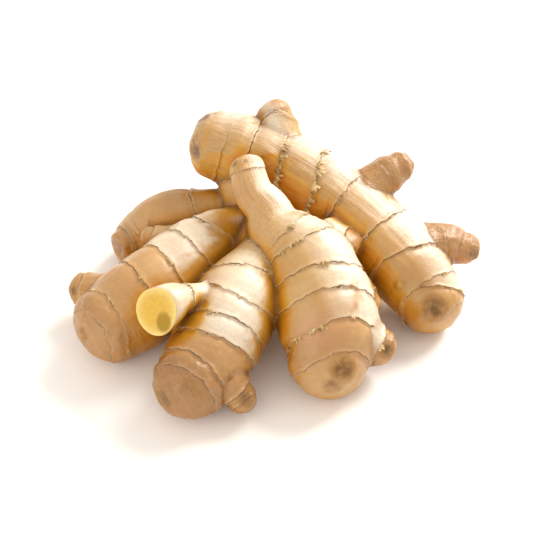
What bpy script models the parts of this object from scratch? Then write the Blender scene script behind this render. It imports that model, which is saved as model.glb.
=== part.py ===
"""A hand of fresh ginger root, modelled as the one solid that it grew as.

Five fat fingers fan out from a low crown. Small knobs bud from them, one of them cut off
across. Old leaf scars ring every finger as low wavy steps, and the hand lies on the
undersides of its fingers, where six small flats meet the table.
"""
import math
from dataclasses import dataclass

import bmesh
import bpy
import numpy as np
from mathutils import Vector

# Driving sizes, in millimetres unless a name says otherwise
MM = 0.001
NAME = "ginger_rhizome"
CENTRE_X = 2.0
CENTRE_Y = 2.05
SCAR_LIP = 0.5
SCAR_GROOVE = 0.35
SCAR_RISE_LENGTH = 4.0
SCAR_DROP_LENGTH = 0.9
SCAR_FADE_LENGTH = 3.0
SCAR_WAVE = 0.4
INTERNODE_SWELL = 0.6
SECTION_SPACING = 7.0
TIP_DIMPLE = 1.2
LUMP_SHARE = 0.03
AXIS_STEPS = 40
FINGER_SIDES = 18
CROWN_SIDES = 14
KNOB_SIDES = 10
TABLE_BLOCK = 240.0
KNIFE_RADIUS = 12.5
KNIFE_DEPTH = 10.0
KNIFE_SIDES = 24
CUT_POINT = (-42.7, -35.4, 38.5)
CUT_DIRECTION = (-0.54, -0.72, 0.44)
SMOOTH_ANGLE = math.radians(50)
MERGE_DISTANCE = 0.02

SKIN_COLOUR = (0.70, 0.47, 0.24, 1.0)
SKIN_ROUGHNESS = 0.55
FLESH_COLOUR = (0.82, 0.62, 0.14, 1.0)
FLESH_ROUGHNESS = 0.4


@dataclass(frozen=True)
class Scar:
    """A leaf scar that rings a shoot, in millimetres and in degrees round the axis.

    along is its place on the axis. It leans towards the tip by lean at the angle toward, and
    as far back on the other side. It also bends towards the tip by bend at the angle across
    and opposite it. Angles start at the top of the shoot.
    """

    along: float
    lean: float = 0.0
    toward: float = 0.0
    bend: float = 0.0
    across: float = 0.0


@dataclass(frozen=True)
class Shoot:
    """A finger or knob: a bent round body along a smooth axis.

    stations holds x, y, z and the radius at points along the axis, scars its leaf scars, and
    ends how long the rounded first and last ends are, as a share of the radius there.
    """

    name: str
    stations: tuple
    scars: tuple
    ends: tuple
    sides: int = FINGER_SIDES


FINGERS = (
    Shoot("long_finger",
          ((-21.5, 53, 46, 15), (-8.5, 48.5, 43, 16), (12.5, 37.5, 38, 16.5),
           (32.5, 23.5, 32, 16.5), (52.5, 7, 23, 16.3), (65.5, -6, 12.4, 13.8)),
          (Scar(3.5, 1, 100), Scar(14.7, 1, 95, 1, 50), Scar(29.3, 1.5, 110, 2, 70),
           Scar(45.5, 2.5, 110, 2.5, 65), Scar(59, 0.5, 110, 0.5, 65), Scar(78, 0.5, -85, 1, -40),
           Scar(91.5, 2.3, -70, 1.5, -40), Scar(110.8, 3.6, -80, 4.5, -40)), (0.75, 0.85)),
    Shoot("stub_and_front_right_finger",
          ((-9.5, 25.5, 57, 6.8), (-6.5, 17.5, 51, 8), (-1.2, 12, 46.8, 9.3),
           (3, 6, 41.5, 12.2), (14.5, -5.5, 35, 17), (20.5, -19, 27.5, 18.5),
           (23, -31, 18.3, 18.3), (22.5, -40.2, 13.5, 14.8)),
          (Scar(40.5, 1, -80, 1.5, -35), Scar(54.5, 0.7, -120, 1.2, -65),
           Scar(64, 1, -125, 1.3, -90), Scar(79, 3.8, 130, 5, -90),
           Scar(90, 2.7, 105, 2.5, 65)), (0.7, 0.9)),
    Shoot("front_left_finger",
          ((1, 5, 33, 8.5), (-3.5, -3, 30.5, 12), (-11.5, -16.5, 25, 17),
           (-21, -33, 18, 17.3), (-30.8, -50.1, 13.8, 14.3)),
          (Scar(19, 1.7, 105, 2, 60), Scar(29.8, 0, 0, 0.5, 0), Scar(41.5, 1.6, 80, 1.2, 50),
           Scar(50, 2, 50, 0.6, 5), Scar(63.7, 1.5, -135, 1.2, 70),
           Scar(69.8, 0.5, -160, 1, 85)), (0.8, 0.95)),
    Shoot("left_finger",
          ((-6, 25, 26, 8.5), (-22.5, 14.5, 25, 13.8), (-36, 3, 22, 16.5),
           (-50, -10, 18.2, 18.3), (-63, -20.5, 15.2, 15.6)),
          (Scar(18.5, 1.6, 60, 2, 15), Scar(31.3), Scar(45, 0.8, -125, 1.2, -80),
           Scar(57, 1, -100, 1.3, -55), Scar(74.6, 1, -160, 2, 80),
           Scar(82, 0.4, 145, 1, 70)), (0.8, 0.85)),
    Shoot("back_left_finger",
          ((-14.5, 34.5, 25.5, 8.5), (-29, 35, 21.5, 11.3), (-44, 35.5, 16.5, 13),
           (-54.5, 32.8, 10.2, 11.5), (-62.3, 27.2, 9, 8.4)),
          (Scar(14.6, 0.7, 65, 1, 20), Scar(37.5), Scar(50.7, 1, -125)), (0.5, 0.25)),
    Shoot("crown",
          ((0, 4, 30, 13), (-4, 22, 20, 15), (-4, 40, 11.6, 13)),
          (Scar(26), Scar(37)), (0.5, 0.5), CROWN_SIDES),
    Shoot("crown_riser",
          ((-10, 44, 38, 12), (-7, 34, 28, 12.5), (-4, 24, 20, 13)),
          (), (0.5, 0.5), CROWN_SIDES),
)

KNOBS = (
    Shoot("knob_top_left", ((7, 46, 46.5, 8.3), (4.3, 52.5, 52.7, 8), (1.8, 58.3, 57.7, 7.2)),
          (Scar(13.6, 1.6, -65, 2, -20),), (0.5, 0.8), KNOB_SIDES),
    Shoot("knob_top_right", ((39, 30, 40, 8.5), (46, 35, 43.5, 8), (53, 38.5, 46, 6.6)),
          (Scar(10), Scar(15.5, 0.5, 145)), (0.5, 0.8), KNOB_SIDES),
    Shoot("knob_far_right", ((58, 10, 26, 8.5), (68, 14, 25.5, 9), (80, 14.5, 23, 6.3)),
          (Scar(11.5), Scar(19, 1.5, -75)), (0.5, 0.9), KNOB_SIDES),
    Shoot("knob_upper_right", ((22, 5.8, 37.2, 8.9), (31.5, 1.5, 36.8, 5.2)),
          (Scar(8),), (0.5, 0.8), KNOB_SIDES),
    Shoot("knob_right", ((36, -13.5, 25.5, 6.5), (41.3, -17, 23.5, 3.4)),
          (Scar(4),), (0.5, 0.8), KNOB_SIDES),
    Shoot("knob_low_right", ((35.5, -31, 19.5, 9.5), (43, -33, 15, 7.4)),
          (Scar(6),), (0.5, 0.8), KNOB_SIDES),
    Shoot("knob_cut",
          ((-16.5, -16, 30.5, 5), (-24, -21.3, 34, 4.2), (-28.8, -25, 36.6, 4.2),
           (-32.4, -27.8, 38, 5.4), (-36.8, -31, 38.8, 7.6), (-42.7, -35.4, 38.5, 9.3),
           (-46.6, -38.5, 39, 9)),
          (Scar(20.4, 0.6, -130),), (0.5, 0.3), KNOB_SIDES),
    Shoot("knob_front", ((-16, -50, 14, 8), (-10.5, -54, 9, 6)),
          (Scar(5),), (0.5, 0.9), KNOB_SIDES),
    Shoot("knob_far_left", ((-68, -3, 15, 8), (-76, 1, 13, 6.3)),
          (Scar(7),), (0.5, 0.9), KNOB_SIDES),
    Shoot("knob_left_top", ((-38.5, 15, 26, 6.8), (-49.5, 20.2, 24.7, 3.8)),
          (Scar(9),), (0.5, 0.9), KNOB_SIDES),
)


def smooth_axis(stations):
    """Catmull-Rom curve through the stations: points, radii and the length up to each."""
    rows = np.array(stations, float)
    rows = np.vstack([2 * rows[0] - rows[1], rows, 2 * rows[-1] - rows[-2]])
    share = np.linspace(0, 1, AXIS_STEPS, endpoint=False)[:, None]
    spans = []
    for before, start, end, after in zip(rows, rows[1:], rows[2:], rows[3:]):
        slope = (end - before) * share
        bend = (2 * before - 5 * start + 4 * end - after) * share ** 2
        twist = (3 * start - before - 3 * end + after) * share ** 3
        spans.append(0.5 * (2 * start + slope + bend + twist))
    curve = np.vstack(spans + [rows[-2:-1]])
    steps = np.linalg.norm(np.diff(curve[:, :3], axis=0), axis=1)
    return curve[:, :3], curve[:, 3], np.concatenate([[0], np.cumsum(steps)])


def carried_frames(points):
    """A tangent and an upright normal at each point, carried along the axis without twist."""
    tangents = np.gradient(points, axis=0)
    tangents /= np.linalg.norm(tangents, axis=1)[:, None]
    normals = np.zeros_like(tangents)
    guide = np.array([0.0, 0.0, 1.0])
    for index, tangent in enumerate(tangents):
        normal = guide - tangent * (guide @ tangent)
        guide = normal / np.linalg.norm(normal)
        normals[index] = guide
    return tangents, normals


def scar_relief(shoot, along):
    """How far the skin stands off the plain round form at one place along the axis."""
    relief = 0.0
    for scar in shoot.scars:
        past = along - scar.along
        rise = np.clip(1 + past / SCAR_RISE_LENGTH, 0, 1) ** 2 * SCAR_LIP
        drop = np.clip(1 - past / SCAR_DROP_LENGTH, 0, 1) * (SCAR_LIP + SCAR_GROOVE)
        fade = np.clip(1 - past / SCAR_FADE_LENGTH, 0, 1) * SCAR_GROOVE
        relief += rise if past <= 0 else drop - fade
    for scar, following in zip(shoot.scars, shoot.scars[1:]):
        share = (along - scar.along) / (following.along - scar.along)
        if 0 < share < 1:
            relief += INTERNODE_SWELL * math.sin(math.pi * share)
    return relief


def lumps(along, angles):
    """How far the finger's section departs from a circle, as a share of its radius."""
    broad = np.sin(2 * angles + along / 17)
    narrow = np.sin(3 * angles - along / 11)
    return LUMP_SHARE * (broad + 0.6 * narrow)


def scar_path(scar, number, angles):
    """How far a scar departs along the finger from a plain ring, for each angle round it."""
    start = 2.4 * number
    lean = scar.lean * np.cos(angles - math.radians(scar.toward))
    bend = scar.bend * np.cos(2 * (angles - math.radians(scar.across)))
    wave = 0.7 * np.sin(2 * angles + start) + 0.3 * np.sin(5 * angles + 1.7 * start)
    return lean + bend + SCAR_WAVE * wave


def skin_shift(shoot, along, angles, first_pole, last_pole):
    """How far the skin's sections follow the scars' paths: fully at a scar, not at a pole."""
    still = np.zeros_like(angles)
    paths = [scar_path(scar, number, angles) for number, scar in enumerate(shoot.scars)]
    places = [first_pole] + [scar.along for scar in shoot.scars] + [last_pole]
    columns = np.array([still] + paths + [still]).T
    return [np.interp(along, places, column) for column in columns]


def section_places(shoot, length, first_end, last_end):
    """Where along the axis the loft has its sections: round ends, scars and between them."""
    places = [(scar.along + offset, True)
              for scar in shoot.scars
              for offset in (-SCAR_RISE_LENGTH, -0.1, SCAR_DROP_LENGTH, SCAR_FADE_LENGTH)]
    for turn in (22, 44, 64, 80):
        reach = math.sin(math.radians(turn))
        places.append((-first_end * reach, False))
        places.append((length + last_end * reach, False))
    places += [(along, False) for along in np.arange(0, length + 0.1, SECTION_SPACING)]
    places.append((length, False))
    kept = []
    for along, of_scar in sorted(places, key=lambda item: item[0]):
        crowded = kept and along - kept[-1][0] < 0.8
        if crowded and not kept[-1][1]:
            kept.pop()
            crowded = False
        inside = -first_end < along < length + 0.99 * last_end
        if inside and not crowded:
            kept.append((along, of_scar))
    return [along for along, _ in kept]


def loft(shoot, collection):
    """Skin sections along the shoot's axis, closed by a point at each end."""
    points, radii, lengths = smooth_axis(shoot.stations)
    tangents, normals = carried_frames(points)
    length = lengths[-1]
    first_end = shoot.ends[0] * radii[0]
    last_end = shoot.ends[1] * radii[-1]
    angles = np.linspace(0, 2 * math.pi, shoot.sides, endpoint=False)

    def axis_at(along):
        """Centre, tangent, normal, side and plain radius at one place along the axis."""
        inside = min(max(along, 0), length)
        centre = np.array([np.interp(inside, lengths, points[:, k]) for k in range(3)])
        tangent = np.array([np.interp(inside, lengths, tangents[:, k]) for k in range(3)])
        normal = np.array([np.interp(inside, lengths, normals[:, k]) for k in range(3)])
        tangent /= np.linalg.norm(tangent)
        normal -= tangent * (normal @ tangent)
        normal /= np.linalg.norm(normal)
        centre = centre + tangent * (along - inside)
        past_first = max(-along, 0) / first_end
        past_last = max(along - length, 0) / last_end
        rounding = math.sqrt(max(1 - max(past_first, past_last) ** 2, 0))
        radius = np.interp(inside, lengths, radii) * rounding
        return centre, tangent, normal, np.cross(tangent, normal), radius

    mesh = bpy.data.meshes.new(shoot.name)
    body = bmesh.new()
    rows = []
    for along in section_places(shoot, length, first_end, last_end):
        shift = skin_shift(shoot, along, angles, -first_end, length + last_end)
        relief = scar_relief(shoot, along)
        row = []
        for angle, forward in zip(angles, shift):
            centre, _, normal, side, radius = axis_at(along + forward)
            reach = radius * (1 + lumps(along + forward, angle)) + relief * min(radius / 4, 1)
            corner = centre + reach * (math.cos(angle) * normal + math.sin(angle) * side)
            row.append(body.verts.new(corner * MM))
        rows.append(row)
    for lower, upper in zip(rows, rows[1:]):
        for index in range(shoot.sides):
            after = (index + 1) % shoot.sides
            body.faces.new((lower[index], lower[after], upper[after], upper[index]))
    first_centre = axis_at(-first_end)[0]
    last_centre, last_tangent = axis_at(length + last_end)[:2]
    first_point = body.verts.new(first_centre * MM)
    last_point = body.verts.new((last_centre - TIP_DIMPLE * last_tangent) * MM)
    for index in range(shoot.sides):
        after = (index + 1) % shoot.sides
        body.faces.new((first_point, rows[0][after], rows[0][index]))
        body.faces.new((last_point, rows[-1][index], rows[-1][after]))
    bmesh.ops.recalc_face_normals(body, faces=body.faces)
    body.to_mesh(mesh)
    body.free()
    thing = bpy.data.objects.new(shoot.name, mesh)
    collection.objects.link(thing)
    return thing


def new_collection(name):
    """An empty collection in the scene."""
    collection = bpy.data.collections.new(name)
    bpy.context.scene.collection.children.link(collection)
    return collection


def plain_material(name, colour, roughness):
    """A Principled material of one colour."""
    material = bpy.data.materials.new(name)
    material.use_nodes = True
    shader = material.node_tree.nodes["Principled BSDF"]
    shader.inputs["Base Color"].default_value = colour
    shader.inputs["Roughness"].default_value = roughness
    shader.inputs["Metallic"].default_value = 0.0
    return material


def move_to_cutters(block, name, collection):
    """Name a cutter, keep it out of the render and put it in the cutters' collection."""
    block.name = name
    block.hide_render = True
    block.display_type = "WIRE"
    for holder in block.users_collection:
        holder.objects.unlink(block)
    collection.objects.link(block)


def table_cutter(collection):
    """A block whose top face is the table that the hand lies on."""
    bpy.ops.mesh.primitive_cube_add(size=TABLE_BLOCK * MM)
    table = bpy.context.active_object
    table.location.z = -TABLE_BLOCK / 2 * MM
    move_to_cutters(table, "table_top", collection)
    return table


def knife_cutter(collection):
    """A short thick disc that takes the end off the cut knob along one slanted plane."""
    bpy.ops.mesh.primitive_cylinder_add(
        vertices=KNIFE_SIDES, radius=KNIFE_RADIUS * MM, depth=KNIFE_DEPTH * MM)
    knife = bpy.context.active_object
    direction = Vector(CUT_DIRECTION).normalized()
    face = Vector(CUT_POINT) - Vector((CENTRE_X, CENTRE_Y, 0))
    knife.rotation_euler = direction.to_track_quat("Z", "Y").to_euler()
    knife.location = (face + direction * KNIFE_DEPTH / 2) * MM
    move_to_cutters(knife, "knife", collection)
    return knife


def join_shoots(parts):
    """One closed body from all fingers and knobs, by a Boolean union on their collection."""
    pieces = new_collection("shoots")
    fingers = [loft(shoot, pieces) for shoot in FINGERS + KNOBS]
    first = fingers[0]
    pieces.objects.unlink(first)
    parts.objects.link(first)
    union = first.modifiers.new("grown_together", "BOOLEAN")
    union.operation = "UNION"
    union.operand_type = "COLLECTION"
    union.collection = pieces
    union.solver = "EXACT"
    bpy.context.view_layer.update()
    evaluated = first.evaluated_get(bpy.context.evaluated_depsgraph_get())
    mesh = bpy.data.meshes.new_from_object(evaluated)
    for finger in fingers:
        bpy.data.objects.remove(finger)
    bpy.data.collections.remove(pieces)
    return mesh


def tidy_mesh(mesh):
    """Move the hand over its centre and merge the slivers that the union leaves."""
    body = bmesh.new()
    body.from_mesh(mesh)
    bmesh.ops.translate(body, vec=Vector((-CENTRE_X, -CENTRE_Y, 0)) * MM, verts=body.verts)
    bmesh.ops.remove_doubles(body, verts=body.verts, dist=MERGE_DISTANCE * MM)
    bmesh.ops.dissolve_degenerate(body, edges=body.edges, dist=MERGE_DISTANCE * MM)
    bmesh.ops.triangulate(body, faces=[face for face in body.faces if len(face.verts) > 4])
    body.to_mesh(mesh)
    body.free()
    mesh.shade_smooth()
    mesh.set_sharp_from_angle(angle=SMOOTH_ANGLE)


def build_rhizome():
    """The hand itself, with its flats and its cut knob."""
    parts = new_collection("ginger_root")
    cutters = new_collection("cutters")
    mesh = join_shoots(parts)
    tidy_mesh(mesh)
    rhizome = bpy.data.objects.new(NAME, mesh)
    parts.objects.link(rhizome)
    mesh.materials.clear()
    mesh.materials.append(plain_material("ginger_skin", SKIN_COLOUR, SKIN_ROUGHNESS))
    table = table_cutter(cutters)
    knife = knife_cutter(cutters)
    table.data.materials.append(mesh.materials[0])
    knife.data.materials.append(plain_material("ginger_flesh", FLESH_COLOUR, FLESH_ROUGHNESS))
    for cutter in (table, knife):
        cut = rhizome.modifiers.new(cutter.name, "BOOLEAN")
        cut.operation = "DIFFERENCE"
        cut.object = cutter
        cut.solver = "EXACT"
        cut.material_mode = "TRANSFER"


def main():
    """Clear the scene and build the hand."""
    for thing in list(bpy.data.objects):
        bpy.data.objects.remove(thing)
    build_rhizome()


main()
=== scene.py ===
"""Portrait of a hand of fresh ginger root on a pale table.

The skin is one fine mesh grown from the same finger axes as the solid it stands for, and
blended where the fingers meet. The papery remnants along the leaf scars and the moist cut
face are pieces of their own.
"""

import logging
import math
from collections.abc import Sequence
from dataclasses import dataclass
from enum import Enum

import bmesh
import bpy
import numpy as np
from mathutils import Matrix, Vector, noise


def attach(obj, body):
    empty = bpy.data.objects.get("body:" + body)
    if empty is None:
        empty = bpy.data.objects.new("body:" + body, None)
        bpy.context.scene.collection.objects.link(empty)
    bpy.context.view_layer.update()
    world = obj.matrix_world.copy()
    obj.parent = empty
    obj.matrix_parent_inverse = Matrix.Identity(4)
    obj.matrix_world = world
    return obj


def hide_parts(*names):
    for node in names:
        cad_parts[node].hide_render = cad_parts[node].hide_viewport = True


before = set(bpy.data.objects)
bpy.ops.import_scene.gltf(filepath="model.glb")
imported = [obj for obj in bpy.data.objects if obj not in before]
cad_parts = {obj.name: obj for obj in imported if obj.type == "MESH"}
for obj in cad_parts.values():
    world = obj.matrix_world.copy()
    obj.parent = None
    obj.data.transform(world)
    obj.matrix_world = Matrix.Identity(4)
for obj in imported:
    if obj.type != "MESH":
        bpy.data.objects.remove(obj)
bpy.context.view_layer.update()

log = logging.getLogger("ginger")

MM = 0.001
NODE = "ginger_rhizome"
BODY = "root"
# Middle of the hand in plan, taken off every station so that it lies at the origin
CENTRE = np.array([2.0, 2.05, 0.0])
# Distance in millimetres that stands for anywhere far from a shoot
FAR = 60.0
SEED = 7

Socket = bpy.types.NodeSocket


@dataclass(frozen=True)
class Scar:
    """A leaf scar that rings a shoot, in millimetres and in degrees round the axis.

    along is its place on the axis. It leans towards the tip by lean at the angle toward, and
    as far back on the other side; it also bends towards the tip by bend at the angle across
    and opposite it. strength is its depth and fringe how much dead leaf scale hangs on it,
    both from 0 to 1. With a facing angle it only shows on that side of the shoot.
    """

    along: float
    lean: float = 0.0
    toward: float = 0.0
    bend: float = 0.0
    across: float = 0.0
    strength: float = 1.0
    fringe: float = 0.02
    facing: float | None = None

    def bow(self, angle: np.ndarray) -> np.ndarray:
        """How far the scar departs from a plain ring at each angle, without its waves."""
        lean = self.lean * np.cos(angle - math.radians(self.toward))
        return lean + self.bend * np.cos(2 * (angle - math.radians(self.across)))

    def depth(self, angle: np.ndarray) -> np.ndarray:
        """How strong the scar is at each angle.

        Args:
            angle: Angles round the axis.

        Returns:
            Strengths from 0 to 1.
        """
        if self.facing is None:
            return np.full_like(angle, self.strength)
        turned = np.cos(angle - math.radians(self.facing))
        return self.strength * np.clip((turned - 0.2) / 0.4, 0, 1)


@dataclass(frozen=True)
class HighlightSide:
    """The lit side of a shoot, which is painted ivory as a highlight.

    It reaches up to the internode last, faces an angle and reaches some way to both sides of
    it, in degrees. Its strength is from 0 to 1.
    """

    last: int
    facing: float
    reach: float = 90.0
    strength: float = 1.0


@dataclass(frozen=True)
class Shoot:
    """One finger or knob: a bent round body along a smooth axis, in millimetres.

    stations holds x, y, z and the radius along the axis, scars the leaf scars that bound its
    internodes, ends the length of each rounded end as a share of the radius there, faint
    weaker or partial rings, tone how brown the skin is at the start and at the tip, from 0
    to 1, and fibrous how stringy it is there. pale is its lit side, where an ivory highlight
    is painted, and amber_shade how much amber shade is painted on the other side.
    """

    name: str
    stations: tuple[tuple[float, float, float, float], ...]
    scars: tuple[Scar, ...]
    ends: tuple[float, float]
    faint: tuple[Scar, ...] = ()
    tone: tuple[float, float] = (0.5, 0.5)
    fibrous: tuple[float, float] = (0.35, 0.15)
    pale: HighlightSide = HighlightSide(0, 0, 0, 0)
    amber_shade: float = 0.2


@dataclass(frozen=True)
class Relief:
    """Heights and lengths of the low forms on the skin, in millimetres.

    A scar has a lip, a groove past it and waves and jags along its line. Internodes swell,
    and the section departs from a circle by a share of its radius in broad and narrow lumps
    that turn along the shoot. Relief fades where the radius is below thin.
    """

    lip: float = 0.5
    groove: float = 0.35
    rise_length: float = 4.0
    drop_length: float = 0.5
    fade_length: float = 3.0
    wave: float = 0.4
    zigzag: float = 0.4
    swell: float = 0.6
    lump_share: float = 0.03
    narrow_lumps: float = 0.6
    broad_turn: float = 17.0
    narrow_turn: float = 11.0
    thin: float = 4.0
    blend: float = 0.9


class SpotKind(Enum):
    """What marks a small round place on the skin."""

    SCAR = "scar"
    EYE = "eye"


@dataclass(frozen=True)
class Spot:
    """A shoot scar or bud eye, with its radius in millimetres.

    It lies where the sight line through a pixel of the photograph meets the skin.
    """

    name: str
    pixel: tuple[float, float]
    radius: float
    strength: float = 0.6
    kind: SpotKind = SpotKind.SCAR


FINGERS = (
    Shoot("long_finger",
          ((-21.5, 53, 46, 15), (-8.5, 48.5, 43, 16), (12.5, 37.5, 38, 16.5),
           (32.5, 23.5, 32, 16.5), (52.5, 7, 23, 16.3), (65.5, -6, 12.4, 13.8)),
          (Scar(3.5, 1, 100, strength=0.4), Scar(14.7, 1, 95, 1, 50),
           Scar(29.3, 1.5, 110, 2, 70, fringe=0.9), Scar(45.5, 2.5, 110, 2.5, 65, fringe=1),
           Scar(59, 0.5, 110, 0.5, 65, fringe=0.5), Scar(78, 0.5, -85, 1, -40),
           Scar(91.5, 2.3, -70, 1.5, -40), Scar(110.8, 3.6, -80, 4.5, -40)),
          (0.75, 0.85), (Scar(106, 1, -100, 2, -60, 0.6, 0, -20), Scar(119, strength=0.4)),
          (0.25, 0.4), (1.0, 0.1), HighlightSide(7, -72, 80), 1.0),
    Shoot("stub_and_front_right_finger",
          ((-9.5, 25.5, 57, 6.8), (-6.5, 17.5, 51, 8), (-1.2, 12, 46.8, 9.3),
           (3, 6, 41.5, 12.2), (14.5, -5.5, 35, 17), (20.5, -19, 27.5, 18.5),
           (23, -31, 18.3, 18.3), (22.5, -40.2, 13.5, 14.8)),
          (Scar(40.5, 1, -80, 1.5, -35, fringe=0.25), Scar(54.5, 0.7, -120, 1.2, -65),
           Scar(64, 1, -125, 1.3, -90), Scar(79, 3.8, 130, 5, -90, fringe=0.15),
           Scar(90, 2.7, 105, 2.5, 65, strength=0.6)),
          (0.7, 0.9), (Scar(33.4, 0.3, 50, 0.4, 5, 0.7, 0.3, -20), Scar(2, strength=0.5)),
          (0.0, 0.5), (1.0, -0.3), HighlightSide(3, -84, 78), 0.5),
    Shoot("front_left_finger",
          ((1, 5, 33, 8.5), (-3.5, -3, 30.5, 12), (-11.5, -16.5, 25, 17),
           (-21, -33, 18, 17.3), (-30.8, -50.1, 13.8, 14.3)),
          (Scar(19, 1.7, 105, 2, 60), Scar(29.8, 0, 0, 0.5, 0), Scar(41.5, 1.6, 80, 1.2, 50),
           Scar(50, 2, 50, 0.6, 5), Scar(63.7, 1.5, -135, 1.2, 70, fringe=0.2),
           Scar(69.8, 0.5, -160, 1, 85, strength=0.7)),
          (0.8, 0.95), (Scar(7.7, 0.5, -110, 0.5, -65, 0.8, 0, -30),),
          (0.0, 1.1), (0.3, 0.15), HighlightSide(3, -34, 52), 0.4),
    Shoot("left_finger",
          ((-6, 25, 26, 8.5), (-22.5, 14.5, 25, 13.8), (-36, 3, 22, 16.5),
           (-50, -10, 18.2, 18.3), (-63, -20.5, 15.2, 15.6)),
          (Scar(18.5, 1.6, 60, 2, 15), Scar(31.3), Scar(45, 0.8, -125, 1.2, -80),
           Scar(57, 1, -100, 1.3, -55), Scar(74.6, 1, -160, 2, 80, strength=0.5, fringe=0.5),
           Scar(82, 0.4, 145, 1, 70, strength=0.5)), (0.8, 0.85), (), (0.0, 0.7),
          (0.3, 0.15), HighlightSide(2, 5, 58, 0.75), 0.35),
    Shoot("back_left_finger",
          ((-14.5, 34.5, 25.5, 8.5), (-29, 35, 21.5, 11.3), (-44, 35.5, 16.5, 13),
           (-54.5, 32.8, 10.2, 11.5), (-62.3, 27.2, 9, 8.4)),
          (Scar(14.6, 0.7, 65, 1, 20), Scar(37.5, strength=0.4),
           Scar(50.7, 1, -125, strength=0.8)), (0.5, 0.25), (Scar(3.7, strength=0.4),), (0.2, 0.5),
          amber_shade=0.3),
    Shoot("crown",
          ((0, 4, 30, 13), (-4, 22, 20, 15), (-4, 40, 11.6, 13)),
          (Scar(26), Scar(37)), (0.5, 0.5), (), (1.0, 1.0), amber_shade=0.5),
    Shoot("crown_riser",
          ((-10, 44, 38, 12), (-7, 34, 28, 12.5), (-4, 24, 20, 13)),
          (), (0.5, 0.5), (), (0.0, 0.0), amber_shade=0.3),
)

CUT_KNOB = Shoot(
    "knob_cut",
    ((-16.5, -16, 30.5, 5), (-24, -21.3, 34, 4.2), (-28.8, -25, 36.6, 4.2),
     (-32.4, -27.8, 38, 5.4), (-36.8, -31, 38.8, 7.6), (-42.7, -35.4, 38.5, 9.3),
     (-46.6, -38.5, 39, 9)),
    (Scar(20.4, 0.6, -130, strength=0.7),), (0.5, 0.3), (), (0.0, 0.0), (0.3, 0.15),
    HighlightSide(2, -30, 90, 0.7))

KNOBS = (
    Shoot("knob_top_left", ((7, 46, 46.5, 8.3), (4.3, 52.5, 52.7, 8), (1.8, 58.3, 57.7, 7.2)),
          (Scar(13.6, 1.6, -65, 2, -20),), (0.5, 0.8), (Scar(18, strength=0.4),),
          (0.2, 0.5), (0.3, 0.15), HighlightSide(1, -85, 85), 0.9),
    Shoot("knob_top_right", ((39, 30, 40, 8.5), (46, 35, 43.5, 8), (53, 38.5, 46, 6.6)),
          (Scar(10, strength=0.3), Scar(15.5, 0.5, 145, strength=0.35)), (0.5, 0.8),
          (Scar(19.8, 0.5, -25, 0.8, 22, 0.4),), (0.9, 1.0), amber_shade=0.3),
    Shoot("knob_far_right", ((58, 10, 26, 8.5), (68, 14, 25.5, 9), (80, 14.5, 23, 6.3)),
          (Scar(11.5, strength=0.6), Scar(19, 1.5, -75, strength=0.6)), (0.5, 0.9),
          (Scar(24, strength=0.4),), (1.0, 0.9), amber_shade=0.5),
    Shoot("knob_upper_right", ((22, 5.8, 37.2, 8.9), (31.5, 1.5, 36.8, 5.2)),
          (Scar(8),), (0.5, 0.8), (), (0.2, 0.6), (0.3, 0.15), HighlightSide(0, 0, 70, 0.7), 0.7),
    Shoot("knob_right", ((36, -13.5, 25.5, 6.5), (41.3, -17, 23.5, 3.4)),
          (Scar(4),), (0.5, 0.8), (), (0.6, 0.6)),
    Shoot("knob_low_right", ((35.5, -31, 19.5, 9.5), (43, -33, 15, 7.4)),
          (Scar(6),), (0.5, 0.8), (Scar(10, strength=0.6),),
          (0.2, 0.7), (0.3, 0.15), HighlightSide(0, -20, 80, 0.9), 0.5),
    CUT_KNOB,
    Shoot("knob_front", ((-16, -50, 14, 8), (-10.5, -54, 9, 6)),
          (Scar(5, fringe=0.2),), (0.5, 0.9), (Scar(9, strength=0.6),), (0.8, 0.9)),
    Shoot("knob_far_left", ((-68, -3, 15, 8), (-76, 1, 13, 6.3)),
          (Scar(7),), (0.5, 0.9), (Scar(11, strength=0.6),), (0.4, 0.5)),
    Shoot("knob_left_top", ((-38.5, 15, 26, 6.8), (-49.5, 20.2, 24.7, 3.8)),
          (Scar(9),), (0.5, 0.9), (), (0.4, 0.4)),
)

CUT_POINT = np.array([-42.7, -35.4, 38.5])
CUT_DIRECTION = np.array([-0.54, -0.72, 0.44])

SPOTS = (
    Spot("long_finger_tip", (434, 309), 5.8, 1.0),
    Spot("long_finger_far_end", (194, 151), 4.8, 1.0),
    Spot("long_finger_far_end_upper", (196, 139), 3.2, 0.6),
    Spot("long_finger_far_end_top", (204, 119), 3.6, 0.95),
    Spot("long_finger_far_end_back", (215, 113), 3.2, 0.6),
    Spot("front_right_tip", (344, 369), 5.6, 1.0),
    Spot("front_right_tip_low", (333, 386), 4.4, 0.8),
    Spot("stub_end_left", (235, 164), 1.2, 0.8),
    Spot("stub_end_top", (245, 161), 1.4, 0.7),
    Spot("fleck_by_top_left_knob", (288, 134), 0.9, 0.8),
    Spot("fleck_on_fringed_ring", (322, 154), 1.3, 0.9),
    Spot("fleck_by_top_right_knob", (355, 178), 1.1, 0.7),
    Spot("front_left_tip", (164, 399), 5.4, 0.95),
    Spot("front_left_tip_upper", (188, 386), 4.2, 0.6),
    Spot("back_left_tip", (117, 246), 5.0, 0.75),
    Spot("top_right_knob_tip", (409, 158), 3.2, 0.8),
    Spot("far_right_knob_tip", (474, 254), 3.2, 0.95),
    Spot("upper_right_knob_tip", (356, 251), 1.6, 0.7),
    Spot("low_right_knob_tip", (388, 350), 4.0, 0.9),
    Spot("front_knob_tip", (247, 399), 3.6, 1.0),
    Spot("far_left_knob_tip", (72, 291), 3.0, 0.8),
    Spot("long_finger_bud", (400, 285), 2.6, 0.6, SpotKind.EYE),
    Spot("left_finger_bud", (82, 334), 3.0, 0.6, SpotKind.EYE),
)


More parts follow.
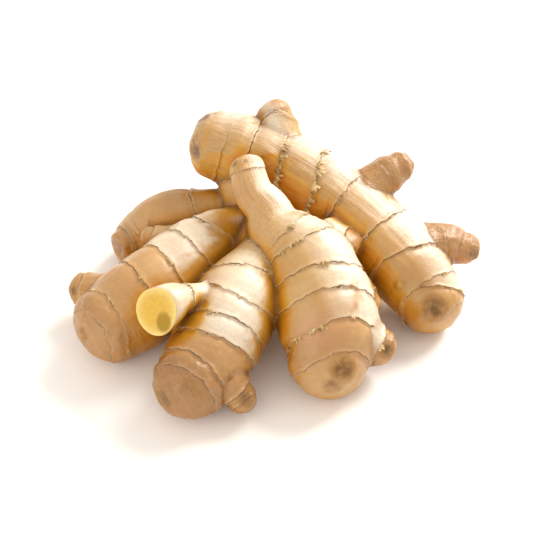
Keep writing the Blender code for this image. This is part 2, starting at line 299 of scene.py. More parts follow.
def smooth_axis(stations: Sequence[Sequence[float]]) -> tuple[np.ndarray, np.ndarray, np.ndarray]:
    """Catmull-Rom curve through a shoot's stations.

    Args:
        stations: Rows of x, y, z and radius in millimetres.

    Returns:
        Points along the curve, the radius at each and the length up to each.
    """
    steps = 40
    rows = np.array(stations, float)
    rows = np.vstack([2 * rows[0] - rows[1], rows, 2 * rows[-1] - rows[-2]])
    share = np.linspace(0, 1, steps, endpoint=False)[:, None]
    spans = []
    for before, start, end, after in zip(rows, rows[1:], rows[2:], rows[3:]):
        slope = (end - before) * share
        bend = (2 * before - 5 * start + 4 * end - after) * share ** 2
        twist = (3 * start - before - 3 * end + after) * share ** 3
        spans.append(0.5 * (2 * start + slope + bend + twist))
    curve = np.vstack(spans + [rows[-2:-1]])
    lengths = np.linalg.norm(np.diff(curve[:, :3], axis=0), axis=1)
    return curve[:, :3], curve[:, 3], np.concatenate([[0], np.cumsum(lengths)])


# Waves round a shoot, each with its height, how many go round and the phase for each step
SLOW_WAVES = ((0.7, 2, 1.0), (0.3, 5, 1.7))
JAGGED_WAVES = ((0.5, 11, 3.1), (0.35, 19, -2.3), (0.3, 31, 5.3))
UNEVEN_WAVES = ((0.25, 3, 1.3), (0.2, 8, -1.0))


def waves(rows: Sequence[tuple[float, float, float]], angle: np.ndarray, step: float
          ) -> np.ndarray:
    """Sum of the waves in rows, at angles round a shoot and for one step of their phase."""
    return sum(height * np.sin(count * angle + phase * step) for height, count, phase in rows)


def noise_at(points: np.ndarray) -> np.ndarray:
    """Smooth noise at rows of points, one wave to the unit."""
    return np.array([noise.noise(Vector(row)) for row in points])


def unit(rows: np.ndarray) -> np.ndarray:
    """Rows scaled to length one."""
    return rows / np.maximum(np.linalg.norm(rows, axis=-1, keepdims=True), 1e-9)


def carried_frames(points: np.ndarray) -> tuple[np.ndarray, np.ndarray]:
    """A tangent and an upright normal at each point, carried along without twist.

    Args:
        points: Rows of positions along an axis.

    Returns:
        The tangents and the normals.
    """
    tangents = unit(np.gradient(points, axis=0))
    normals = np.zeros_like(tangents)
    guide = np.array([0.0, 0.0, 1.0])
    for index, tangent in enumerate(tangents):
        normal = guide - tangent * (guide @ tangent)
        guide = normal / np.linalg.norm(normal)
        normals[index] = guide
    return tangents, normals


@dataclass
class Reading:
    """What a shoot's form says about a set of points, all in millimetres.

    distance is to its skin, below 0 inside; along and angle place the point on the shoot,
    past is how far it lies beyond the nearest scar, weight that scar's strength, and
    radius the plain radius there.
    """

    distance: np.ndarray
    along: np.ndarray
    angle: np.ndarray
    past: np.ndarray
    weight: np.ndarray
    radius: np.ndarray


class ShootForm:
    """The exact form of one shoot, to be measured from any point."""

    # Millimetres between samples of the axis, and round the shoot where points are measured
    spacing = 1.0
    margin = 8.0
    # Phase between one scar's waves and the next, and the radius from which jags are whole
    scar_phase = 2.4
    jagged_radius = 12.0
    # Millimetres over which one internode gives way to the next
    change = 0.6
    # Steepest slope of the radius that counts, and the step that it is measured over
    steepest = 6.0
    nudge = 0.1
    # Points measured in one go
    batch = 20000

    def __init__(self, shoot: Shoot, relief: Relief) -> None:
        """Lay out the axis.

        Args:
            shoot: The shoot's own sizes.
            relief: The sizes of the relief on its skin.
        """
        self.shoot = shoot
        self.relief = relief
        points, self.radii, self.lengths = smooth_axis(shoot.stations)
        points = points - CENTRE
        tangents, normals = carried_frames(points)
        self.length = self.lengths[-1]
        self.first_end = shoot.ends[0] * self.radii[0]
        self.last_end = shoot.ends[1] * self.radii[-1]
        count = int((self.length + self.first_end + self.last_end) / self.spacing) + 2
        self.along = np.linspace(-self.first_end, self.length + self.last_end, count)
        inside = np.clip(self.along, 0, self.length)
        columns = [np.interp(inside, self.lengths, points[:, column]) for column in range(3)]
        self.tangent = unit(self._sampled(tangents, inside))
        normal = self._sampled(normals, inside)
        normal -= self.tangent * (normal * self.tangent).sum(1)[:, None]
        self.normal = unit(normal)
        self.side = np.cross(self.tangent, self.normal)
        self.centre = np.stack(columns, -1) + self.tangent * (self.along - inside)[:, None]
        reach = self.radii.max() + self.margin
        self.low = self.centre.min(0) - reach
        self.high = self.centre.max(0) + reach
        self.scars = shoot.scars + shoot.faint

    def _sampled(self, rows: np.ndarray, inside: np.ndarray) -> np.ndarray:
        """Rows given along the axis, read at other places along it."""
        return np.stack([np.interp(inside, self.lengths, rows[:, column]) for column in range(3)], -1)

    def plain_radius(self, along: np.ndarray) -> np.ndarray:
        """Radius of the smooth form, rounded off at both ends.

        Args:
            along: Places along the axis.

        Returns:
            The radius at each place.
        """
        inside = np.clip(along, 0, self.length)
        past = np.maximum(-along / self.first_end, (along - self.length) / self.last_end)
        rounding = np.sqrt(1 - np.clip(past, 0, 1) ** 2)
        return np.interp(inside, self.lengths, self.radii) * rounding

    def lumps(self, along: np.ndarray, angle: np.ndarray) -> np.ndarray:
        """How far the section departs from a circle.

        Args:
            along: Places along the axis.
            angle: Angles round it.

        Returns:
            The departure as a share of the radius.
        """
        sizes = self.relief
        broad = np.sin(2 * angle + along / sizes.broad_turn)
        narrow = np.sin(3 * angle - along / sizes.narrow_turn)
        return sizes.lump_share * (broad + sizes.narrow_lumps * narrow)

    def full_radius(self, along: np.ndarray, angle: np.ndarray) -> np.ndarray:
        """Radius of the lumpy form with its scars and swellings.

        Args:
            along: Places along the axis.
            angle: Angles round it.

        Returns:
            The radius at each point.
        """
        radius = self.plain_radius(along)
        lumpy = radius * (1 + self.lumps(along, angle))
        thinness = np.minimum(radius / self.relief.thin, 1)
        return lumpy + self.skin_relief(along, angle) * thinness

    def scar_place(self, number: int, angle: np.ndarray) -> np.ndarray:
        """Where along the axis a scar's wavy, jagged line runs at each angle.

        Args:
            number: The scar's place in the shoot's list.
            angle: Angles round the axis.

        Returns:
            Places along the axis in millimetres.
        """
        scar = self.scars[number]
        start = self.scar_phase * number
        rough = min(self.plain_radius(np.array([scar.along]))[0] / self.jagged_radius, 1)
        wander = self.relief.wave * waves(SLOW_WAVES, angle, start)
        wander += self.relief.zigzag * waves(JAGGED_WAVES, angle, start) * rough
        return scar.along + scar.bow(angle) + wander

    def internode(self, along: np.ndarray, angle: np.ndarray) -> np.ndarray:
        """How many of the main scars lie behind each point.

        Args:
            along: Places along the axis.
            angle: Angles round it.

        Returns:
            The number, which passes smoothly from one whole number to the next.
        """
        passed = np.zeros_like(along)
        for number in range(len(self.shoot.scars)):
            beyond = along - self.scar_place(number, angle)
            passed += np.clip(beyond / self.change + 0.5, 0, 1)
        return passed

    def skin_relief(self, along: np.ndarray, angle: np.ndarray) -> np.ndarray:
        """Height of the scars' steps and of the swelling between them.

        Args:
            along: Places along the axis.
            angle: Angles round it.

        Returns:
            The height at each point, in millimetres.
        """
        sizes = self.relief
        height = np.zeros_like(along)
        places = [self.scar_place(number, angle) for number in range(len(self.scars))]
        for number, (scar, place) in enumerate(zip(self.scars, places)):
            past = along - place
            uneven = 1 + waves(UNEVEN_WAVES, angle, number)
            rise = np.clip(1 + past / sizes.rise_length, 0, 1) ** 2 * sizes.lip
            drop = np.clip(1 - past / sizes.drop_length, 0, 1) * (sizes.lip + sizes.groove)
            fade = np.clip(1 - past / sizes.fade_length, 0, 1) * sizes.groove
            height += scar.depth(angle) * uneven * np.where(past <= 0, rise, drop - fade)
        mains = places[:len(self.shoot.scars)]
        for start, end in zip(mains, mains[1:]):
            share = np.clip((along - start) / np.maximum(end - start, 1), 0, 1)
            height += sizes.swell * np.sin(math.pi * share)
        return height

    def measure(self, points: np.ndarray) -> Reading:
        """Distance to the skin and the place on the shoot, for rows of points.

        Args:
            points: Rows of x, y and z in millimetres.

        Returns:
            A Reading with one entry for each point; far points only get a large distance.
        """
        count = len(points)
        reading = Reading(np.full(count, FAR), np.zeros(count), np.zeros(count),
                          np.full(count, FAR), np.zeros(count), np.zeros(count))
        near = np.flatnonzero(np.all((points > self.low) & (points < self.high), axis=1))
        for rows in np.array_split(near, max(len(near) // self.batch, 1)):
            if len(rows):
                self._measure_near(points[rows], rows, reading)
        return reading

    def _measure_near(self, points: np.ndarray, rows: np.ndarray, reading: Reading) -> None:
        """Fill in the reading of the points that lie near the shoot.

        Args:
            points: The near points.
            rows: Their places in the reading.
            reading: The reading, which is changed.
        """
        gaps = (self.centre ** 2).sum(1)[None] - 2 * points @ self.centre.T
        nearest = gaps.argmin(1)
        offset = points - self.centre[nearest]
        step = (offset * self.tangent[nearest]).sum(1)
        radial = offset - self.tangent[nearest] * step[:, None]
        along = self.along[nearest] + step
        away = np.linalg.norm(radial, axis=1)
        angle = np.arctan2((radial * self.side[nearest]).sum(1),
                           (radial * self.normal[nearest]).sum(1))
        rise = self.plain_radius(along + self.nudge) - self.plain_radius(along - self.nudge)
        slope = np.clip(rise / (2 * self.nudge), -self.steepest, self.steepest)
        over = np.maximum(along - self.length - self.last_end, -self.first_end - along)
        above = away - self.full_radius(along, angle)
        distance = above / np.sqrt(1 + slope ** 2)
        distance = np.where(over > 0, np.hypot(away, over), distance)
        past = np.full(len(points), FAR)
        weight = np.zeros(len(points))
        for number, scar in enumerate(self.scars):
            beyond = along - self.scar_place(number, angle)
            closer = np.abs(beyond) < np.abs(past)
            past = np.where(closer, beyond, past)
            weight = np.where(closer, scar.depth(angle), weight)
        reading.distance[rows] = distance
        reading.along[rows] = along
        reading.angle[rows] = angle
        reading.past[rows] = past
        reading.weight[rows] = weight
        reading.radius[rows] = self.plain_radius(along)

    def place(self, along: np.ndarray, angle: np.ndarray) -> tuple[np.ndarray, ...]:
        """Points on the skin with the directions out of it and along the shoot.

        Args:
            along: Places along the axis.
            angle: Angles round it.

        Returns:
            Positions, outward directions and directions towards the tip.
        """
        rows = [np.stack([np.interp(along, self.along, part[:, column]) for column in range(3)], -1)
                for part in (self.centre, self.normal, self.side, self.tangent)]
        normal, side, tangent = (unit(part) for part in rows[1:])
        out = np.cos(angle)[:, None] * normal + np.sin(angle)[:, None] * side
        return rows[0] + self.full_radius(along, angle)[:, None] * out, out, tangent

    def loft(self, spacing: float = 2.0, sides: int = 40) -> bmesh.types.BMesh:
        """The plain closed form of the shoot as a coarse mesh.

        Args:
            spacing: Distance between sections.
            sides: Corners in each section.

        Returns:
            A new closed mesh, in metres.
        """
        body = bmesh.new()
        middle = np.arange(0, self.length, spacing)
        # Sections on the rounded ends stand closer towards the tip
        turns = np.sin(np.radians(np.array([12, 24, 36, 48, 60, 70, 79, 86])))
        along = np.concatenate([-self.first_end * turns[::-1], middle,
                                self.length + self.last_end * np.append(0, turns)])
        angles = np.linspace(0, 2 * math.pi, sides, endpoint=False)
        rows = []
        for place in along:
            corners = self.place(np.full(sides, place), angles)[0]
            rows.append([body.verts.new(corner * MM) for corner in corners])
        for lower, upper in zip(rows, rows[1:]):
            for index in range(sides):
                after = (index + 1) % sides
                body.faces.new((lower[index], lower[after], upper[after], upper[index]))
        body.faces.new(rows[0][::-1])
        body.faces.new(rows[-1])
        bmesh.ops.recalc_face_normals(body, faces=body.faces)
        return body


class HandForm:
    """All shoots of the hand, blended where they meet and cut at the one cut knob."""

    def __init__(self, relief: Relief) -> None:
        """Lay out every shoot.

        Args:
            relief: The sizes of the relief on the skin.
        """
        self.relief = relief
        self.forms = [ShootForm(shoot, relief) for shoot in FINGERS + KNOBS]
        for form in self.forms:
            log.info("%s: %.0f mm along its axis", form.shoot.name, form.length)
        self.cut_form = next(form for form in self.forms if form.shoot is CUT_KNOB)
        self.cut_point = CUT_POINT - CENTRE
        self.cut_direction = CUT_DIRECTION / np.linalg.norm(CUT_DIRECTION)

    def beyond_cut(self, points: np.ndarray) -> np.ndarray:
        """How far points lie past the plane of the cut."""
        return (points - self.cut_point) @ self.cut_direction

    def readings(self, points: np.ndarray) -> list[Reading]:
        """Each shoot's reading of the points, with the cut taken off its knob.

        Args:
            points: Rows of x, y and z in millimetres.

        Returns:
            One reading for each shoot.
        """
        found = []
        for form in self.forms:
            reading = form.measure(points)
            if form is self.cut_form:
                reading.distance = np.maximum(reading.distance, self.beyond_cut(points))
            found.append(reading)
        return found

    def blended(self, readings: Sequence[Reading]) -> np.ndarray:
        """Smooth union of the shoots' distances.

        Args:
            readings: Each shoot's reading of the same points.

        Returns:
            The distance of each point to the blended skin.
        """
        reach = self.relief.blend
        rows = np.stack([reading.distance for reading in readings])
        lowest = rows.min(0)
        total = np.exp(-(rows - lowest) / reach).sum(0)
        return lowest - reach * np.log(total)

    def distance(self, points: np.ndarray) -> np.ndarray:
        """Distance of points to the blended skin."""
        return self.blended(self.readings(points))


@dataclass(frozen=True)
class Viewpoint:
    """The photograph's viewpoint, found from its perspective.

    Lengths are in millimetres. A sight line is followed from first_look to last_look.
    """

    elevation: float = 45.0
    distance: float = 620.0
    aim: tuple[float, float, float] = (-2.0, -2.05, 25.0)
    focal_pixels: float = 1550.0
    frame_pixels: float = 540.0
    sensor: float = 36.0
    first_look: float = 480.0
    last_look: float = 800.0
    looks: int = 160

    def position(self) -> np.ndarray:
        """Where the camera stands, in millimetres."""
        return np.array(self.aim) + self.distance * self.back()

    def back(self) -> np.ndarray:
        """Direction from the hand to the camera."""
        lift = math.radians(self.elevation)
        return np.array([0.0, -math.cos(lift), math.sin(lift)])

    def lens(self) -> float:
        """Focal length in millimetres on the sensor."""
        return self.focal_pixels * self.sensor / self.frame_pixels

    def ray(self, pixel: Sequence[float]) -> np.ndarray:
        """Direction of the sight line through a pixel.

        Args:
            pixel: Column and row in the photograph's frame.

        Returns:
            The direction, of length one.
        """
        lift = math.radians(self.elevation)
        upward = np.array([0.0, math.sin(lift), math.cos(lift)])
        right = np.array([1.0, 0.0, 0.0])
        across = (pixel[0] - self.frame_pixels / 2) / self.focal_pixels
        down = (pixel[1] - self.frame_pixels / 2) / self.focal_pixels
        return unit(right * across - upward * down - self.back())

    def meet(self, form: HandForm, pixel: Sequence[float]) -> np.ndarray | None:
        """Where the sight line through a pixel first meets the skin.

        Args:
            form: The hand's form.
            pixel: Column and row in the photograph's frame.

        Returns:
            The point in millimetres, or None where the line misses the hand.
        """
        start = self.position()
        direction = self.ray(pixel)
        travelled = self.first_look
        for _ in range(self.looks):
            point = start + direction * travelled
            gap = float(form.distance(point[None])[0])
            if gap < 0.02:
                return point
            travelled += min(gap * 0.7, 10.0)
            if travelled > self.last_look:
                return None
        return start + direction * travelled


def linear(colour: str) -> tuple[float, float, float, float]:
    """An sRGB hex colour as linear red, green, blue and alpha.

    Args:
        colour: Six hex digits after a hash.

    Returns:
        The four linear values.
    """
    channels = [int(colour[start:start + 2], 16) / 255 for start in (1, 3, 5)]
    bright = [value / 12.92 if value <= 0.04045 else ((value + 0.055) / 1.055) ** 2.4
              for value in channels]
    return (*bright, 1.0)


def add_node(tree: bpy.types.NodeTree, kind: str, settings: dict | None = None,
             inputs: dict | None = None) -> bpy.types.Node:
    """Add a node to a tree with its settings, values and links.

    Args:
        tree: The node tree.
        kind: The node's type name.
        settings: Its properties by name.
        inputs: Values or output sockets, by input name or number.

    Returns:
        The new node.
    """
    node = tree.nodes.new(kind)
    for name, value in (settings or {}).items():
        setattr(node, name, value)
    for key, value in (inputs or {}).items():
        socket = node.inputs[key]
        if isinstance(value, Socket):
            tree.links.new(value, socket)
        else:
            socket.default_value = value
    return node


@dataclass(frozen=True)
class NodeNet:
    """A node tree being wired, with a short method for each kind of node that it needs often."""

    tree: bpy.types.NodeTree

    def place(self) -> Socket:
        """The point on the piece, in metres."""
        return add_node(self.tree, "ShaderNodeTexCoord").outputs["Object"]

    def mark(self, name: str, output: str = "Fac") -> Socket:
        """One of the mesh's attributes."""
        return add_node(self.tree, "ShaderNodeAttribute", {"attribute_name": name}).outputs[output]

    def maths(self, operation: str, *values: object) -> Socket:
        """Two or three values joined by an operation."""
        node = add_node(self.tree, "ShaderNodeMath", {"operation": operation},
                        dict(enumerate(values)))
        return node.outputs[0]

    def product(self, first: object, second: object) -> Socket:
        """Two values multiplied."""
        return self.maths("MULTIPLY", first, second)

    def noise(self, place: Socket, scale: float, detail: float, roughness: float = 0.62) -> Socket:
        """Noise with scale waves to the metre.

        Args:
            place: Where it is read.
            scale: Waves to the metre.
            detail: Number of finer layers.
            roughness: How strong the finer layers are.

        Returns:
            The noise, from 0 to 1.
        """
        return add_node(self.tree, "ShaderNodeTexNoise", {}, {
            "Vector": place, "Scale": scale, "Detail": detail,
            "Roughness": roughness}).outputs["Fac"]

    def stretched(self, grain: Socket, scale: tuple[float, float, float]) -> Socket:
        """Noise on the unrolled skin.

        Args:
            grain: The unrolled place, in millimetres.
            scale: Waves to the millimetre each way.

        Returns:
            The noise, from 0 to 1.
        """
        place = add_node(self.tree, "ShaderNodeMapping", {}, {"Vector": grain, "Scale": scale})
        return self.noise(place.outputs["Vector"], 1.0, 5.0)

    def way(self, value: Socket, start: float, end: float, low: float = 0.0,
            high: float = 1.0) -> Socket:
        """A value's smooth way from one level to another.

        Args:
            value: The value.
            start: Where it leaves the first level.
            end: Where it reaches the second.
            low: The first level.
            high: The second level.

        Returns:
            The level.
        """
        return add_node(self.tree, "ShaderNodeMapRange", {"interpolation_type": "SMOOTHSTEP"}, {
            "Value": value, "From Min": start, "From Max": end, "To Min": low,
            "To Max": high}).outputs["Result"]

    def mixed(self, share: Socket, colour: Socket | str, other: Socket | str,
              blend: str = "MIX") -> Socket:
        """One colour laid over another.

        Args:
            share: How much of the other colour there is.
            colour: The first colour, as a socket or in hex.
            other: The colour laid over it, as a socket or in hex.
            blend: How it is laid over.

        Returns:
            The mixed colour.
        """
        first, second = (linear(layer) if isinstance(layer, str) else layer
                         for layer in (colour, other))
        return add_node(self.tree, "ShaderNodeMix", {"data_type": "RGBA", "blend_type": blend}, {
            "Factor": share, "A": first, "B": second}).outputs["Result"]

    def paint(self, colour: Socket) -> None:
        """Give the shader its colour."""
        shader = self.tree.nodes["Principled BSDF"]
        self.tree.links.new(colour, shader.inputs["Base Color"])

    def roughen(self, height: Socket, strength: float, distance: float) -> None:
        """Give the shader a bump.

        Args:
            height: The height's socket.
            strength: How much of the bump shows.
            distance: What a height of one stands for, in millimetres.
        """
        shader = self.tree.nodes["Principled BSDF"]
        bump = add_node(self.tree, "ShaderNodeBump", {}, {
            "Strength": strength, "Distance": distance * MM, "Height": height})
        self.tree.links.new(bump.outputs["Normal"], shader.inputs["Normal"])


def new_material(name: str, sockets: dict) -> tuple[bpy.types.Material, NodeNet]:
    """A material with a Principled shader whose plain sockets are set.

    Args:
        name: The material's name.
        sockets: Values of the shader's sockets by name.

    Returns:
        The material, and its tree ready to be wired.
    """
    material = bpy.data.materials.new(name)
    material.use_nodes = True
    shader = material.node_tree.nodes["Principled BSDF"]
    for socket, value in sockets.items():
        shader.inputs[socket].default_value = value
    return material, NodeNet(material.node_tree)


@dataclass(frozen=True)
class GingerSkin:
    """Skin of fresh mature ginger: a thin, dry, satin cork layer over juicy flesh."""

    # Painted highlight, laid on the lit side of each shoot
    painted_highlight: str = "#E6DDC9"
    cream: str = "#C1A16C"
    tan: str = "#B78F57"
    blush: str = "#B98962"
    brown: str = "#885F37"
    # Painted amber shade, mostly on the side opposite the lit side
    amber_shade: str = "#C08E16"
    # Painted shade: a warm darkening laid over skin that is shut in
    hollow: str = "#FFDF5C"
    # Painted shade in the creases between shoots
    crease_shade: str = "#6B3F0A"
    line: str = "#5C3A17"
    lip: str = "#E6CDA2"
    scar: str = "#8C622A"
    scar_dark: str = "#4E3110"

    def material(self) -> bpy.types.Material:
        """Build the skin's node tree.

        Returns:
            The material.
        """
        material, net = new_material("fresh_ginger_skin", {
            "Roughness": 0.37, "IOR": 1.45, "Subsurface Weight": 0.12,
            "Subsurface Radius": (1.0, 0.45, 0.16), "Subsurface Scale": 0.003})
        place = net.place()
        grain = net.mark("grain", "Vector")
        # Fibres run lengthways, about 0.7 mm apart and some 12 mm long
        fibres = net.stretched(grain, (1.4, 1.4, 0.08))
        # Growth wrinkles run round, about 1 mm apart
        wrinkles = net.stretched(grain, (0.07, 0.07, 1.0))
        # Cork grain of 0.7 mm
        cork = net.noise(place, 1500.0, 3.0)
        colour = self._ground(net, place)
        colour = self._strands(net, place, fibres, wrinkles, colour)
        colour = self._hollows(net, colour)
        colour, edge = self._rings(net, place, colour)
        colour = self._scars(net, place, cork, colour)
        # Heights of a tenth of a millimetre: fibres, wrinkles, cork and each scar's edge
        height = net.maths("MULTIPLY_ADD", net.product(fibres, net.mark("fibrous")), 0.5, edge)
        height = net.maths("MULTIPLY_ADD", wrinkles, 0.08, height)
        height = net.maths("MULTIPLY_ADD", cork, 0.06, height)
        # Brown ends are shrivelled in wrinkles 2 to 4 mm apart
        shrivel = net.product(net.noise(place, 330.0, 2.0), net.mark("tone"))
        height = net.maths("MULTIPLY_ADD", shrivel, 0.9, height)
        net.paint(colour)
        net.roughen(height, 0.8, 1.0)
        return material

    def _ground(self, net: NodeNet, place: Socket) -> Socket:
        """The skin's colour from cream and tan to old brown, with a painted ivory highlight.

        Args:
            net: The skin's tree.
            place: The point on the skin.

        Returns:
            The colour.
        """
        # Patches of 15 to 30 mm, from cream to tan, with a pinkish blush
        colour = net.mixed(net.way(net.noise(place, 45.0, 4.0), 0.34, 0.66), self.tan, self.cream)
        blush = net.way(net.noise(place, 28.0, 2.0), 0.48, 0.72, 0.0, 0.7)
        colour = net.mixed(blush, colour, self.blush)
        # Painted highlight: ivory on the lit side of each shoot, kept off skin that is shut in
        highlight_share = net.product(net.mark("pale"), net.way(net.noise(place, 90.0, 3.0), 0.2, 0.5))
        open_air = net.way(net.mark("hollow"), 0.12, 0.45, 1.0, 0.1)
        colour = net.mixed(net.product(highlight_share, open_air), colour, self.painted_highlight)
        # Each internode has a tint of its own
        colour = net.mixed(net.way(net.mark("tint"), -1.0, 1.0, 0.0, 0.16), colour, self.blush)
        # Browner, drier skin on the older shoots
        return net.mixed(net.product(net.mark("tone"), 0.7), colour, self.brown)

    def _strands(self, net: NodeNet, place: Socket, fibres: Socket, wrinkles: Socket,
                 colour: Socket) -> Socket:
        """Brown in the lines between fibres and wrinkles, and a fine mottle.

        Args:
            net: The skin's tree.
            place: The point on the skin.
            fibres: The lengthways noise.
            wrinkles: The noise that runs round.
            colour: The colour so far.

        Returns:
            The colour with its strands.
        """
        strands = net.product(net.way(fibres, 0.6, 0.36), net.mark("fibrous"))
        colour = net.mixed(net.product(strands, 0.35), colour, self.brown)
        colour = net.mixed(net.way(wrinkles, 0.6, 0.4, 0.0, 0.1), colour, self.brown)
        mottle = net.way(net.noise(place, 320.0, 4.0), 0.62, 0.4, 0.0, 0.12)
        return net.mixed(mottle, colour, self.blush)

    def _hollows(self, net: NodeNet, colour: Socket) -> Socket:
        """Painted shade: amber mostly on the side opposite the lit side, a warm darkening where the
        skin is shut in by other shoots or the table, and dark creases between shoots.

        Args:
            net: The skin's tree.
            colour: The colour so far.

        Returns:
            The colour with its painted shade.
        """
        hollow = net.mark("hollow")
        seam = net.mark("seam")
        # Painted amber shade where the skin is shut in, mostly opposite the lit side
        amber_shade_share = net.product(net.way(hollow, 0.0, 0.36, 0.05, 0.92), net.mark("amber_shade"))
        colour = net.mixed(amber_shade_share, colour, self.amber_shade)
        # Painted shade, warm and then dark, the more the skin is shut in
        colour = net.mixed(net.way(hollow, 0.08, 0.6), colour, self.hollow, "MULTIPLY")
        colour = net.mixed(net.way(hollow, 0.5, 0.9, 0.0, 0.22), colour, self.crease_shade)
        # Painted shade: a narrow dark crease where two shoots meet, and a soft one round it
        narrow = net.product(net.way(seam, 0.0, 2.2, 0.85, 0.0), net.way(hollow, 0.1, 0.5, 0.4, 1.0))
        colour = net.mixed(narrow, colour, self.crease_shade)
        soft = net.product(net.way(seam, 0.0, 5.5, 0.5, 0.0), net.way(hollow, 0.3, 0.6))
        return net.mixed(soft, colour, self.crease_shade)

    def _rings(self, net: NodeNet, place: Socket, colour: Socket) -> tuple[Socket, Socket]:
        """Leaf scars: a pale dry edge before a thin dark line, broken here and there.

        Args:
            net: The skin's tree.
            place: The point on the skin.
            colour: The colour so far.

        Returns:
            The colour with its scars, and the height of their edges.
        """
        past = net.mark("past")
        weight = net.mark("weight")
        jags = net.maths("MULTIPLY_ADD", net.noise(place, 800.0, 3.0), 0.9, -0.45)
        ragged = net.maths("ADD", past, jags)
        # Halfway between two scars past jumps, and near keeps a false line away there
        floor = net.maths("ADD", net.mark("near"), -0.7)
        gap = net.maths("MAXIMUM", net.maths("ABSOLUTE", ragged), floor)
        before = net.way(past, -0.2, 0.2, 1.0, 0.0)
        lip = net.product(net.way(gap, 0.3, 1.6, 0.14, 0.0), before)
        colour = net.mixed(net.product(lip, weight), colour, self.lip)
        # The line's width and strength change along it
        width = net.way(net.noise(place, 170.0, 3.0), 0.34, 0.66, 0.08, 0.27)
        inner = net.maths("DIVIDE", gap, width)
        faded = net.way(net.noise(place, 95.0, 3.0), 0.36, 0.56, 0.5, 0.95)
        line = net.product(net.way(inner, 0.5, 1.5, 1.0, 0.0), faded)
        colour = net.mixed(net.product(line, weight), colour, self.line)
        # Brown past the line, in the groove behind the step: painted shade, and old dirt
        after = net.product(net.way(gap, 0.2, 1.5, 0.3, 0.0), net.way(past, -0.2, 0.2))
        colour = net.mixed(net.product(after, weight), colour, self.brown)
        edge = net.product(net.way(ragged, -0.2, 0.25, 0.3, 0.0), net.way(gap, 0.0, 2.0, 1.0, 0.0))
        return colour, edge

    def _scars(self, net: NodeNet, place: Socket, cork: Socket, colour: Socket) -> Socket:
        """Shoot scars: soft-edged blotches of olive-brown cork, darkest in the middle.

        Args:
            net: The skin's tree.
            place: The point on the skin.
            cork: The cork's fine noise.
            colour: The colour so far.

        Returns:
            The colour with its shoot scars.
        """
        spot = net.mark("spot")
        blotches = net.way(net.noise(place, 260.0, 4.0), 0.34, 0.62, 0.35, 1.0)
        share = net.product(net.way(spot, 0.0, 0.7, 0.0, 0.85), blotches)
        colour = net.mixed(share, colour, self.scar)
        grains = net.way(cork, 0.25, 0.75, 0.55, 1.0)
        dark = net.product(net.way(spot, 0.45, 1.0, 0.0, 0.9), grains)
        return net.mixed(net.product(dark, blotches), colour, self.scar_dark)


@dataclass(frozen=True)
class PaperyScale:
    """Dead leaf scale: thin, brittle and papery, paler at its torn edge."""

    pale: str = "#D8BC8A"
    dark: str = "#94703C"

    def material(self) -> bpy.types.Material:
        """Build the scale's node tree.

        Returns:
            The material.
        """
        material, net = new_material("papery_leaf_scale", {
            "Roughness": 0.65, "IOR": 1.45, "Subsurface Weight": 0.15,
            "Subsurface Radius": (1.0, 0.5, 0.2), "Subsurface Scale": 0.001})
        # Mottle of 4 mm
        mottle = net.noise(net.place(), 260.0, 4.0, 0.5)
        ramp = add_node(net.tree, "ShaderNodeValToRGB", {}, {"Fac": mottle})
        for element, position, colour in zip(ramp.color_ramp.elements, (0.38, 0.58),
                                             (self.dark, self.pale)):
            element.position = position
            element.color = linear(colour)
        net.paint(ramp.outputs["Color"])
        return material


@dataclass(frozen=True)
class MoistFlesh:
    """Freshly cut ginger flesh: juicy, pale yellow and fibrous, with an olive patch off the middle.
    """

    pale: str = "#DCC47C"
    yellow: str = "#C8A03A"
    olive: str = "#9A7600"

    def material(self) -> bpy.types.Material:
        """Build the flesh's node tree.

        Returns:
            The material.
        """
        material, net = new_material("moist_ginger_flesh", {
            "Roughness": 0.4, "IOR": 1.38, "Subsurface Weight": 0.25,
            "Subsurface Radius": (1.0, 0.6, 0.15), "Subsurface Scale": 0.003})
        # Cells and fibre ends of 1.5 mm and less
        cells = net.noise(net.place(), 700.0, 4.0, 0.6)
        base = net.mixed(net.mark("rim"), self.yellow, self.pale)
        olive_patched = net.mixed(net.way(net.mark("patch"), 0.2, 0.6), base, self.olive)
        bright = add_node(net.tree, "ShaderNodeMapRange", {}, {
            "Value": cells, "From Min": 0.3, "From Max": 0.7, "To Min": 0.93, "To Max": 1.07})
        colour = add_node(net.tree, "ShaderNodeVectorMath", {"operation": "SCALE"}, {
            0: olive_patched, "Scale": bright.outputs["Result"]})
        net.paint(colour.outputs["Vector"])
        net.roughen(cells, 0.4, 0.2)
        return material


def object_from(name: str, points: np.ndarray, faces: Sequence[Sequence[int]]) -> bpy.types.Object:
    """A mesh object in the scene.

    Args:
        name: The object's name.
        points: Rows of x, y and z in millimetres.
        faces: Corner numbers of each face.

    Returns:
        The new object, at the origin.
    """
    mesh = bpy.data.meshes.new(name)
    mesh.from_pydata((np.asarray(points) * MM).tolist(), [], faces)
    thing = bpy.data.objects.new(name, mesh)
    bpy.context.scene.collection.objects.link(thing)
    return thing


def applied(thing: bpy.types.Object) -> bpy.types.Object:
    """Turn an object's modifiers into a plain mesh of its own.

    Args:
        thing: The object, whose modifiers are removed.

    Returns:
        The same object.
    """
    bpy.context.view_layer.update()
    evaluated = thing.evaluated_get(bpy.context.evaluated_depsgraph_get())
    mesh = bpy.data.meshes.new_from_object(evaluated)
    old = thing.data
    thing.modifiers.clear()
    thing.data = mesh
    bpy.data.meshes.remove(old)
    mesh.name = thing.name
    return thing


def get_points(mesh: bpy.types.Mesh) -> np.ndarray:
    """A mesh's points.

    Args:
        mesh: The mesh.

    Returns:
        Rows of x, y and z in millimetres.
    """
    flat = np.empty(len(mesh.vertices) * 3, np.float32)
    mesh.vertices.foreach_get("co", flat)
    return flat.reshape(-1, 3).astype(float) / MM


